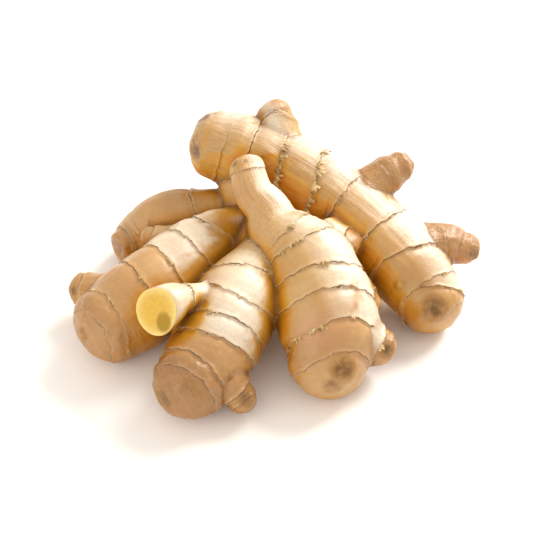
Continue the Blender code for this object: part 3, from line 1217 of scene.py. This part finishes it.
def set_points(mesh: bpy.types.Mesh, points: np.ndarray) -> None:
    """Move a mesh's points.

    Args:
        mesh: The mesh.
        points: Their new places, in millimetres.
    """
    mesh.vertices.foreach_set("co", (points * MM).astype(np.float32).ravel())
    mesh.update()


def get_normals(mesh: bpy.types.Mesh) -> np.ndarray:
    """A mesh's point normals.

    Args:
        mesh: The mesh.

    Returns:
        Rows of length one.
    """
    flat = np.empty(len(mesh.vertices) * 3, np.float32)
    mesh.vertex_normals.foreach_get("vector", flat)
    return flat.reshape(-1, 3).astype(float)


def store(mesh: bpy.types.Mesh, name: str, values: np.ndarray) -> None:
    """Keep one number or vector for each point as a mesh attribute.

    Args:
        mesh: The mesh.
        name: The attribute's name.
        values: One row for each point.
    """
    vector = values.ndim == 2
    layer = mesh.attributes.new(name, "FLOAT_VECTOR" if vector else "FLOAT", "POINT")
    layer.data.foreach_set("vector" if vector else "value", values.astype(np.float32).ravel())


def finish_piece(thing: bpy.types.Object, material: bpy.types.Material) -> None:
    """Give a piece its material, smooth shading and body, and hide the part that it stands for.

    Args:
        thing: The piece.
        material: The piece's only material.
    """
    thing.data.materials.clear()
    thing.data.materials.append(material)
    thing.data.shade_smooth()
    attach(thing, BODY)
    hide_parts(NODE)
    log.info("%s: %d faces", thing.name, len(thing.data.polygons))


def picked(readings: Sequence[Reading], field: str, owner: np.ndarray) -> np.ndarray:
    """One field of the reading by the shoot that each point lies on.

    Args:
        readings: Each shoot's reading of the points.
        field: The field's name.
        owner: The number of the shoot that each point lies on.

    Returns:
        One value for each point.
    """
    rows = np.stack([getattr(reading, field) for reading in readings])
    return rows[owner, np.arange(len(owner))]


@dataclass
class SkinBody:
    """The whole hand's skin as one fine closed mesh, with its sizes in millimetres.

    It is merged at the voxel size and drawn to the form in a few passes. dents, wrinkles and
    shrivel are heights, dent_length and shrivel_length how far apart they lie, and strands
    the waves to the millimetre of the wrinkles, round the shoot and along it. looks_out pairs
    each distance at which a point looks for skin opposite with its share, and the table
    counts as if it lay table_drop lower. The grain of neighbouring shoots lies grain_apart.
    """

    form: HandForm
    view: Viewpoint
    voxel: float = 0.86
    passes: int = 5
    longest_step: float = 1.5
    cut_margin: float = 1.5
    dents: float = 0.35
    dent_length: float = 9.0
    wrinkles: float = 0.16
    strands: tuple[float, float, float] = (0.55, 0.55, 0.07)
    shrivel: float = 0.35
    shrivel_length: float = 3.5
    looks_out: tuple[tuple[float, float], ...] = ((2.5, 0.2), (6, 0.25), (12, 0.3), (22, 0.25))
    table_drop: float = 3.0
    grain_apart: float = 37.0
    least_radius: float = 3.0

    def build(self) -> bpy.types.Object:
        """Grow the mesh, fit it to the form and dress it.

        Returns:
            The finished piece.
        """
        thing = self._grown()
        mesh = thing.data
        points = get_points(mesh)
        for _ in range(self.passes):
            step = np.clip(self.form.distance(points), -self.longest_step, self.longest_step)
            points = points - get_normals(mesh) * step[:, None] * 0.9
            set_points(mesh, points)
        readings = self.form.readings(points)
        owner = np.stack([reading.distance for reading in readings]).argmin(0)
        grain = self._grain(readings, owner)
        normals = get_normals(mesh)
        # How shut in each point is; the skin's material paints shade by it
        hollow = self._hollow(points, normals)
        spot, pit = self._spots(points)
        marks = self._marks(readings, owner)
        height = pit + self._fine_relief(points, grain, marks)
        # The relief ends before the cut, so that the edge there stays clean
        beyond = self.form.beyond_cut(points)
        on_cut = owner == self.form.forms.index(self.form.cut_form)
        on_cut &= beyond > -self.cut_margin
        height[on_cut] *= np.clip(-beyond[on_cut] / self.cut_margin, 0, 1)
        points = points + normals * height[:, None]
        points[:, 2] = np.maximum(points[:, 2], 0.0)
        set_points(mesh, points)
        marks.update(grain=grain, spot=spot, hollow=hollow)
        for name, values in marks.items():
            store(mesh, name, values)
        finish_piece(thing, GingerSkin().material())
        return thing

    def _grown(self) -> bpy.types.Object:
        """All shoots' plain forms, merged by a voxel remesh.

        Returns:
            The merged object.
        """
        joined = bmesh.new()
        for shoot in self.form.forms:
            body = shoot.loft()
            if shoot is self.form.cut_form:
                self._cut(body)
            mesh = bpy.data.meshes.new("shoot")
            body.to_mesh(mesh)
            body.free()
            joined.from_mesh(mesh)
            bpy.data.meshes.remove(mesh)
        mesh = bpy.data.meshes.new("rhizome_skin")
        joined.to_mesh(mesh)
        joined.free()
        thing = bpy.data.objects.new("rhizome_skin", mesh)
        bpy.context.scene.collection.objects.link(thing)
        remesh = thing.modifiers.new("merge", "REMESH")
        remesh.mode = "VOXEL"
        remesh.voxel_size = self.voxel * MM
        return applied(thing)

    def _cut(self, body: bmesh.types.BMesh) -> None:
        """Take the end off the cut knob's mesh.

        Args:
            body: The knob's closed mesh, which is changed.
        """
        geometry = body.verts[:] + body.edges[:] + body.faces[:]
        cut = bmesh.ops.bisect_plane(
            body, geom=geometry, plane_co=self.form.cut_point * MM,
            plane_no=self.form.cut_direction, clear_outer=True)
        edges = [part for part in cut["geom_cut"] if isinstance(part, bmesh.types.BMEdge)]
        bmesh.ops.edgenet_fill(body, edges=edges)
        bmesh.ops.recalc_face_normals(body, faces=body.faces)

    def _grain(self, readings: Sequence[Reading], owner: np.ndarray) -> np.ndarray:
        """The skin unrolled, so that fibres and wrinkles can follow each shoot.

        Args:
            readings: Each shoot's reading of the points.
            owner: The number of the shoot that each point lies on.

        Returns:
            Rows with the way round the shoot in two columns and the way along it in the third.
        """
        angle = picked(readings, "angle", owner)
        radius = np.maximum(picked(readings, "radius", owner), self.least_radius)
        apart = self.grain_apart * owner
        return np.stack([radius * np.cos(angle) + apart, radius * np.sin(angle),
                         picked(readings, "along", owner)], -1)

    def _hollow(self, points: np.ndarray, normals: np.ndarray) -> np.ndarray:
        """How shut in each point is by the skin round it and by the table; the skin's material paints
        shade by it.

        Args:
            points: The skin's points.
            normals: The directions out of it.

        Returns:
            Shares from 0 to 1.
        """
        shut = np.zeros(len(points))
        for reach, share in self.looks_out:
            out = points + normals * reach
            gap = np.minimum(self.form.distance(out), out[:, 2] + self.table_drop)
            shut += share * np.clip(1 - gap / reach, 0, 1)
        return shut

    def _spots(self, points: np.ndarray) -> tuple[np.ndarray, np.ndarray]:
        """Where the shoot scars and bud eyes lie.

        Args:
            points: The skin's points.

        Returns:
            How much of a scar's cork each point has, and the relief in millimetres.
        """
        spot = np.zeros(len(points))
        pit = np.zeros(len(points))
        for mark in SPOTS:
            centre = self.view.meet(self.form, mark.pixel)
            if centre is None:
                log.warning("no skin at %s", mark.name)
                continue
            share = np.clip(np.linalg.norm(points - centre, axis=1) / mark.radius, 0, 2)
            rim = np.exp(-((share - 1) / 0.22) ** 2)
            dome = np.clip(1 - share ** 2, 0, 1)
            # A bud eye is a dome in a shallow ring, a scar a shallow pit with a raised rim
            if mark.kind is SpotKind.EYE:
                pit += 0.9 * dome - 0.35 * rim
                cork = np.clip(1.4 - np.abs(share - 0.6) / 0.25, 0, 1)
            else:
                pit += (0.3 * rim - 0.5 * dome) * mark.strength
                cork = np.clip((1.35 - share) / 1.05, 0, 1)
            spot = np.maximum(spot, cork * mark.strength)
        return spot, pit

    def _fine_relief(self, points: np.ndarray, grain: np.ndarray,
                     marks: dict[str, np.ndarray]) -> np.ndarray:
        """Heights of dents, lengthways wrinkles and shrivelled ends.

        Args:
            points: The skin's points.
            grain: The skin unrolled.
            marks: What is known at each point.

        Returns:
            The heights in millimetres.
        """
        dents = self.dents * noise_at(points / self.dent_length)
        wrinkles = self.wrinkles * noise_at(grain * np.array(self.strands))
        shrivel = self.shrivel * noise_at(points / self.shrivel_length)
        rough = 1 + marks["fibrous"] + 0.5 * marks["tone"]
        return rough * (dents + wrinkles) + marks["tone"] * shrivel

    def _marks(self, readings: Sequence[Reading], owner: np.ndarray) -> dict[str, np.ndarray]:
        """What the skin's material needs to know at each point.

        Args:
            readings: Each shoot's reading of the points.
            owner: The number of the shoot that each point lies on.

        Returns:
            One number for each point, by attribute name.
        """
        # The material reads nothing beyond 6 mm from a scar or 8 mm from a seam
        past = picked(readings, "past", owner)
        ordered = np.sort(np.stack([reading.distance for reading in readings]), axis=0)
        marks = {"past": np.clip(past, -6, 6), "near": np.clip(np.abs(past), 0, 6),
                 "weight": picked(readings, "weight", owner),
                 "seam": np.clip(ordered[1] - ordered[0], 0, 8)}
        along = picked(readings, "along", owner)
        angle = picked(readings, "angle", owner)
        for name in ("pale", "amber_shade", "tint"):
            marks[name] = np.zeros(len(owner))
        for number, form in enumerate(self.form.forms):
            mine = owner == number
            passed = form.internode(along[mine], angle[mine])
            # Painted highlight of ivory on the side that pale faces, painted amber shade on the
            # other, and a tint that steps from one internode to the next
            pale = form.shoot.pale
            turned = np.cos(angle[mine] - math.radians(pale.facing))
            side = 0.5 + 1.3 * (turned - math.cos(math.radians(pale.reach)))
            side = np.clip(side, 0, 1) * pale.strength
            marks["pale"][mine] = side * np.clip(pale.last - passed + 1, 0, 1)
            marks["amber_shade"][mine] = form.shoot.amber_shade * np.clip(0.6 - 0.6 * turned, 0, 1)
            marks["tint"][mine] = np.sin(passed * 4.1 + number * 2.3)
        share = np.clip(along / np.array([form.length for form in self.form.forms])[owner], 0, 1)
        # Brown skin keeps to the tips, and the painted amber shade fades there
        for name, power in (("tone", 3.5), ("fibrous", 1.0)):
            ends = np.array([getattr(form.shoot, name) for form in self.form.forms])[owner]
            way = share ** power
            marks[name] = np.maximum(ends[:, 0] * (1 - way) + ends[:, 1] * way, 0)
        marks["amber_shade"] *= 1 - 0.6 * share ** 5
        return marks


@dataclass
class CutFace:
    """The moist face where one knob was cut across, with its sizes in millimetres.

    It stands a little proud of the cut, swells by lift in the middle, is roughened by its
    fibres and ends edge short of the skin. olive_patch is the place and half width of a darker
    olive patch, across the face and up it.
    """

    form: HandForm
    rings: int = 24
    sides: int = 96
    proud: float = 0.22
    depth: float = 0.6
    lift: float = 0.2
    fibres: float = 0.07
    fibre_length: float = 0.9
    edge: float = 0.15
    olive_patch: tuple[tuple[float, float], tuple[float, float]] = ((-4.4, 3.4), (-2.6, 4.2))

    def build(self) -> bpy.types.Object:
        """Make the face as a thin closed lens that fills the skin's cut edge.

        Returns:
            The finished piece.
        """
        out = self.form.cut_direction
        across = unit(np.cross(out, np.array([0.0, 0.0, 1.0])))
        upward = np.cross(across, out)
        angles = np.linspace(0, 2 * math.pi, self.sides, endpoint=False)
        rays = np.cos(angles)[:, None] * across + np.sin(angles)[:, None] * upward
        reach = self._reach(rays)
        share = np.linspace(0, 1, self.rings + 1)[1:]
        rows = [self.form.cut_point + rays * ((reach - self.edge) * part)[:, None]
                for part in share]
        flat = np.vstack([self.form.cut_point[None]] + rows)
        lengths = np.concatenate([[0], np.repeat(share, self.sides)])
        fibres = self.fibres * noise_at(flat / self.fibre_length)
        swell = self.lift * (1 - lengths ** 4) + fibres * (1 - lengths ** 6)
        top = flat + out * (self.proud + swell)[:, None]
        bottom = flat - out * self.depth
        faces = self._faces(len(flat))
        thing = object_from("cut_flesh", np.vstack([top, bottom]), faces)
        away = [((flat - self.form.cut_point) @ axis - middle) / half
                for axis, (middle, half) in zip((across, upward), self.olive_patch)]
        store(thing.data, "rim", np.tile(lengths ** 5, 2))
        store(thing.data, "patch", np.tile(np.exp(-away[0] ** 2 - away[1] ** 2), 2))
        finish_piece(thing, MoistFlesh().material())
        return thing

    def _reach(self, rays: np.ndarray) -> np.ndarray:
        """How far the knob's skin lies from the middle of the cut.

        Args:
            rays: Directions in the plane of the cut.

        Returns:
            The distance along each, in millimetres.
        """
        reach = np.full(len(rays), 4.0)
        for _ in range(30):
            points = self.form.cut_point + rays * reach[:, None]
            reach -= self.form.cut_form.measure(points).distance * 0.8
        return reach

    def _faces(self, count: int) -> list[tuple[int, ...]]:
        """Faces of the upper side, the lower side and the edge between them.

        Args:
            count: Number of points on one side.

        Returns:
            The corner numbers of each face.
        """
        faces = []
        for index in range(self.sides):
            after = (index + 1) % self.sides
            faces.append((0, 1 + index, 1 + after))
            faces.append((count, count + 1 + after, count + 1 + index))
            for ring in range(self.rings - 1):
                inner = 1 + ring * self.sides
                outer = inner + self.sides
                faces.append((inner + index, outer + index, outer + after, inner + after))
                faces.append((count + inner + after, count + outer + after,
                              count + outer + index, count + inner + index))
            last = 1 + (self.rings - 1) * self.sides
            faces.append((last + index, count + last + index, count + last + after, last + after))
        return faces


def geometry_tree(name: str, sizes: dict[str, tuple[str, object]]
                  ) -> tuple[bpy.types.NodeTree, bpy.types.Node]:
    """A Geometry Nodes tree with named inputs.

    Args:
        name: The tree's name.
        sizes: For each input its socket type and default value.

    Returns:
        The tree and its input node.
    """
    tree = bpy.data.node_groups.new(name, "GeometryNodeTree")
    tree.interface.new_socket("Geometry", in_out="INPUT", socket_type="NodeSocketGeometry")
    tree.interface.new_socket("Geometry", in_out="OUTPUT", socket_type="NodeSocketGeometry")
    for label, (kind, value) in sizes.items():
        socket = tree.interface.new_socket(label, in_out="INPUT", socket_type=kind)
        if value is not None:
            socket.default_value = value
    return tree, tree.nodes.new("NodeGroupInput")


def close_tree(tree: bpy.types.NodeTree, shape: Socket, material: Socket) -> None:
    """End a tree with realized instances that carry a material.

    Args:
        tree: The tree.
        shape: The geometry or instances made so far.
        material: The tree's material input.
    """
    solid = add_node(tree, "GeometryNodeRealizeInstances", {}, {"Geometry": shape})
    dressed = add_node(tree, "GeometryNodeSetMaterial", {}, {
        "Geometry": solid.outputs["Geometry"], "Material": material})
    add_node(tree, "NodeGroupOutput", {}, {"Geometry": dressed.outputs["Geometry"]})


def run_tree(thing: bpy.types.Object, tree: bpy.types.NodeTree, values: dict) -> bpy.types.Object:
    """Run a tree on an object and keep the result as its plain mesh.

    Args:
        thing: The object that holds the starting points.
        tree: The Geometry Nodes tree.
        values: Input values by label.

    Returns:
        The same object.
    """
    modifier = thing.modifiers.new(tree.name, "NODES")
    modifier.node_group = tree
    for item in tree.interface.items_tree:
        if item.in_out == "INPUT" and item.name in values:
            modifier[item.identifier] = values[item.name]
    return applied(thing)


@dataclass
class ScaleRemnants:
    """Torn papery remnants of leaf scales along the scars, with their sizes in millimetres.

    Flakes stand at the spacing, just before the scar, where they would be larger than the
    share smallest, clear of other shoots, of the cut and of the table.
    """

    form: HandForm
    spacing: float = 0.4
    before: float = 0.35
    width: float = 0.8
    length: float = 2.3
    thickness: float = 0.07
    smallest: float = 0.45
    clear: float = 0.8
    clear_of_cut: float = 1.0
    clear_of_table: float = 5.0

    def build(self) -> bpy.types.Object:
        """Set flakes along every scar that lies free.

        Returns:
            The finished piece.
        """
        points, outs, aheads, sizes = self._seats()
        thing = object_from("scale_remnants", points, [])
        store(thing.data, "out", outs)
        store(thing.data, "ahead", aheads)
        store(thing.data, "size", sizes)
        material = PaperyScale().material()
        run_tree(thing, self._tree(), {
            "Width": self.width * MM, "Length": self.length * MM,
            "Thickness": self.thickness * MM, "Seed": SEED, "Material": material})
        finish_piece(thing, material)
        return thing

    def _seats(self) -> tuple[np.ndarray, ...]:
        """Where flakes grow.

        Returns:
            Their places, outward directions, directions towards the tip and sizes.
        """
        found = []
        for index, shoot in enumerate(self.form.forms):
            for number, scar in enumerate(shoot.scars):
                radius = float(shoot.plain_radius(np.array([scar.along]))[0])
                count = max(int(2 * math.pi * radius / self.spacing), 6)
                angle = np.linspace(0, 2 * math.pi, count, endpoint=False)
                along = shoot.scar_place(number, angle) - self.before
                points, outs, aheads = shoot.place(along, angle)
                # Scales last in stretches of 5 mm, torn at each millimetre
                lush = noise_at(points / 5 + np.array([0, 0, index]))
                torn = noise_at(points * 1.3)
                size = np.clip(scar.fringe + 1.2 * lush, 0, 1.1) * scar.depth(angle)
                size *= np.clip(0.9 + 1.5 * torn, 0, 1.4)
                keep = size > self.smallest
                if keep.any():
                    found.append((points[keep], outs[keep], aheads[keep], size[keep], index))
        return self._free(found)

    def _free(self, found: list[tuple]) -> tuple[np.ndarray, ...]:
        """Drop the seats that another shoot covers, the cut took or the table touches.

        Args:
            found: Places, directions and sizes, and the shoot's number, for each scar.

        Returns:
            The places, directions and sizes that are left.
        """
        kept = []
        for points, outs, aheads, size, index in found:
            others = [form.measure(points).distance
                      for number, form in enumerate(self.form.forms) if number != index]
            free = np.min(others, axis=0) > self.clear
            free &= points[:, 2] > self.clear_of_table
            if self.form.forms[index] is self.form.cut_form:
                free &= self.form.beyond_cut(points) < -self.clear_of_cut
            kept.append((points[free], outs[free], aheads[free], size[free]))
        return tuple(np.concatenate([rows[column] for rows in kept]) for column in range(4))

    def _tree(self) -> bpy.types.NodeTree:
        """A curled, tapering flake on every seat, at a random size and turn.

        Returns:
            The tree.
        """
        tree, given = geometry_tree("leaf_scale_flakes", {
            "Width": ("NodeSocketFloat", 0.001), "Length": ("NodeSocketFloat", 0.001),
            "Thickness": ("NodeSocketFloat", 0.0001), "Seed": ("NodeSocketInt", 1),
            "Material": ("NodeSocketMaterial", None)})
        turned = add_node(tree, "FunctionNodeRotateEuler", {"space": "LOCAL"}, {
            "Rotation": self._seated(tree),
            "Rotate By": self._random(tree, given.outputs["Seed"], (-0.1, -0.2, -0.7),
                                      (0.45, 0.2, 0.7))})
        next_seed = NodeNet(tree).maths("ADD", given.outputs["Seed"], 1.0)
        sizes = add_node(tree, "ShaderNodeCombineXYZ", {}, {
            "X": given.outputs["Width"], "Y": given.outputs["Length"],
            "Z": given.outputs["Thickness"]})
        varied = add_node(tree, "ShaderNodeVectorMath", {"operation": "MULTIPLY"}, {
            0: sizes.outputs["Vector"],
            1: self._random(tree, next_seed, (0.5, 0.25, 0.8), (1.5, 1.5, 1.2))})
        scaled = add_node(tree, "ShaderNodeVectorMath", {"operation": "SCALE"}, {
            0: varied.outputs["Vector"], "Scale": self._stored(tree, "size", "FLOAT")})
        flakes = add_node(tree, "GeometryNodeInstanceOnPoints", {}, {
            "Points": given.outputs["Geometry"], "Instance": self._flake(tree),
            "Rotation": turned.outputs["Rotation"], "Scale": scaled.outputs["Vector"]})
        close_tree(tree, flakes.outputs["Instances"], given.outputs["Material"])
        return tree

    def _flake(self, tree: bpy.types.NodeTree) -> Socket:
        """One flake of unit size, which tapers and curls up away from its root.

        Args:
            tree: The flakes' tree.

        Returns:
            The flake's geometry.
        """
        net = NodeNet(tree)
        slab = add_node(tree, "GeometryNodeMeshCube", {}, {
            "Size": (1.0, 1.0, 1.0), "Vertices X": 4, "Vertices Y": 4, "Vertices Z": 2})
        place = add_node(tree, "GeometryNodeInputPosition")
        parts = add_node(tree, "ShaderNodeSeparateXYZ", {}, {0: place.outputs["Position"]})
        from_root = net.maths("ADD", parts.outputs["Y"], 0.35)
        narrowing = net.maths("MULTIPLY_ADD", from_root, -0.55, 1.0)
        wide = net.product(parts.outputs["X"], narrowing)
        curled = net.maths("MULTIPLY_ADD", net.product(from_root, from_root), 2.6, parts.outputs["Z"])
        shape = add_node(tree, "ShaderNodeCombineXYZ", {}, {"X": wide, "Y": from_root, "Z": curled})
        flake = add_node(tree, "GeometryNodeSetPosition", {}, {
            "Geometry": slab.outputs["Mesh"], "Position": shape.outputs["Vector"]})
        return flake.outputs["Geometry"]

    def _seated(self, tree: bpy.types.NodeTree) -> Socket:
        """The turn that stands a flake on the skin and points it towards the tip.

        Args:
            tree: The flakes' tree.

        Returns:
            The turn.
        """
        upright = add_node(tree, "FunctionNodeAlignEulerToVector", {"axis": "Z"}, {
            "Vector": self._stored(tree, "out", "FLOAT_VECTOR")})
        ahead = add_node(tree, "FunctionNodeAlignEulerToVector", {"axis": "Y", "pivot_axis": "Z"}, {
            "Rotation": upright.outputs["Rotation"],
            "Vector": self._stored(tree, "ahead", "FLOAT_VECTOR")})
        return ahead.outputs["Rotation"]

    def _stored(self, tree: bpy.types.NodeTree, name: str, kind: str) -> Socket:
        """What the seats hold under a name."""
        return add_node(tree, "GeometryNodeInputNamedAttribute", {"data_type": kind}, {
            "Name": name}).outputs["Attribute"]

    def _random(self, tree: bpy.types.NodeTree, seed: Socket, low: tuple[float, float, float],
                high: tuple[float, float, float]) -> Socket:
        """A random vector for each flake.

        Args:
            tree: The flakes' tree.
            seed: The seed's socket.
            low: The least value of each part.
            high: The greatest value of each part.

        Returns:
            The vector.
        """
        return add_node(tree, "FunctionNodeRandomValue", {"data_type": "FLOAT_VECTOR"}, {
            "Min": low, "Max": high, "Seed": seed}).outputs["Value"]


@dataclass(frozen=True)
class Softbox:
    """A square lamp that faces the hand, in metres and watts."""

    name: str
    place: tuple[float, float, float]
    size: float
    power: float
    colour: str


@dataclass(frozen=True)
class Studio:
    """Pale table, soft light from the upper right and the photograph's camera."""

    view: Viewpoint
    table: str = "#FBFAF8"
    half_table: float = 1500.0
    key: Softbox = Softbox("key_softbox", (0.50, 0.50, 0.58), 0.5, 13.6, "#FFFDFA")
    fill: Softbox = Softbox("front_fill", (-0.55, -0.6, 0.3), 0.9, 4.6, "#FFFAF2")
    lit_point: tuple[float, float, float] = (0.0, 0.0, 0.02)
    sky: str = "#FFF8F0"
    sky_strength: float = 0.88

    def build(self) -> None:
        """Make the table, the lights, the sky and the camera."""
        self._table()
        self._lamp(self.key)
        self._lamp(self.fill)
        self._sky()
        self._camera()
        log.info("studio ready")

    def _table(self) -> None:
        """A wide pale table of smooth laminate."""
        half = self.half_table
        corners = np.array([(-half, -half, 0), (half, -half, 0), (half, half, 0), (-half, half, 0)])
        floor = object_from("table", corners, [(0, 1, 2, 3)])
        material, net = new_material("white_laminate", {
            "Base Color": linear(self.table), "Roughness": 0.6, "IOR": 1.5})
        # Speckle of 1 mm
        net.roughen(net.noise(net.place(), 900.0, 2.0, 0.5), 0.1, 0.05)
        floor.data.materials.append(material)

    def _lamp(self, box: Softbox) -> None:
        """Hang one softbox so that it faces the hand.

        Args:
            box: The softbox.
        """
        lamp = bpy.data.lights.new(box.name, "AREA")
        lamp.size = box.size
        lamp.energy = box.power
        lamp.color = linear(box.colour)[:3]
        thing = bpy.data.objects.new(box.name, lamp)
        thing.location = box.place
        facing = Vector(self.lit_point) - Vector(box.place)
        thing.rotation_euler = facing.to_track_quat("-Z", "Y").to_euler()
        bpy.context.scene.collection.objects.link(thing)

    def _sky(self) -> None:
        """Even white light from all round."""
        world = bpy.data.worlds.new("studio_white")
        bpy.context.scene.world = world
        world.use_nodes = True
        back = world.node_tree.nodes["Background"]
        back.inputs["Color"].default_value = linear(self.sky)
        back.inputs["Strength"].default_value = self.sky_strength

    def _camera(self) -> None:
        """A long lens at the photograph's height and distance."""
        camera = bpy.data.cameras.new("camera")
        camera.sensor_width = self.view.sensor
        camera.lens = self.view.lens()
        camera.clip_start = 0.05
        thing = bpy.data.objects.new("camera", camera)
        thing.location = self.view.position() * MM
        thing.rotation_euler = (math.radians(90 - self.view.elevation), 0, 0)
        bpy.context.scene.collection.objects.link(thing)
        bpy.context.scene.camera = thing
        bpy.context.scene.view_settings.view_transform = "Standard"


def main() -> None:
    """Build every piece in order."""
    logging.basicConfig(level=logging.INFO, format="%(name)s: %(message)s")
    view = Viewpoint()
    form = HandForm(Relief())
    SkinBody(form, view).build()
    CutFace(form).build()
    ScaleRemnants(form).build()
    Studio(view).build()


if __name__ == "__main__":
    main()
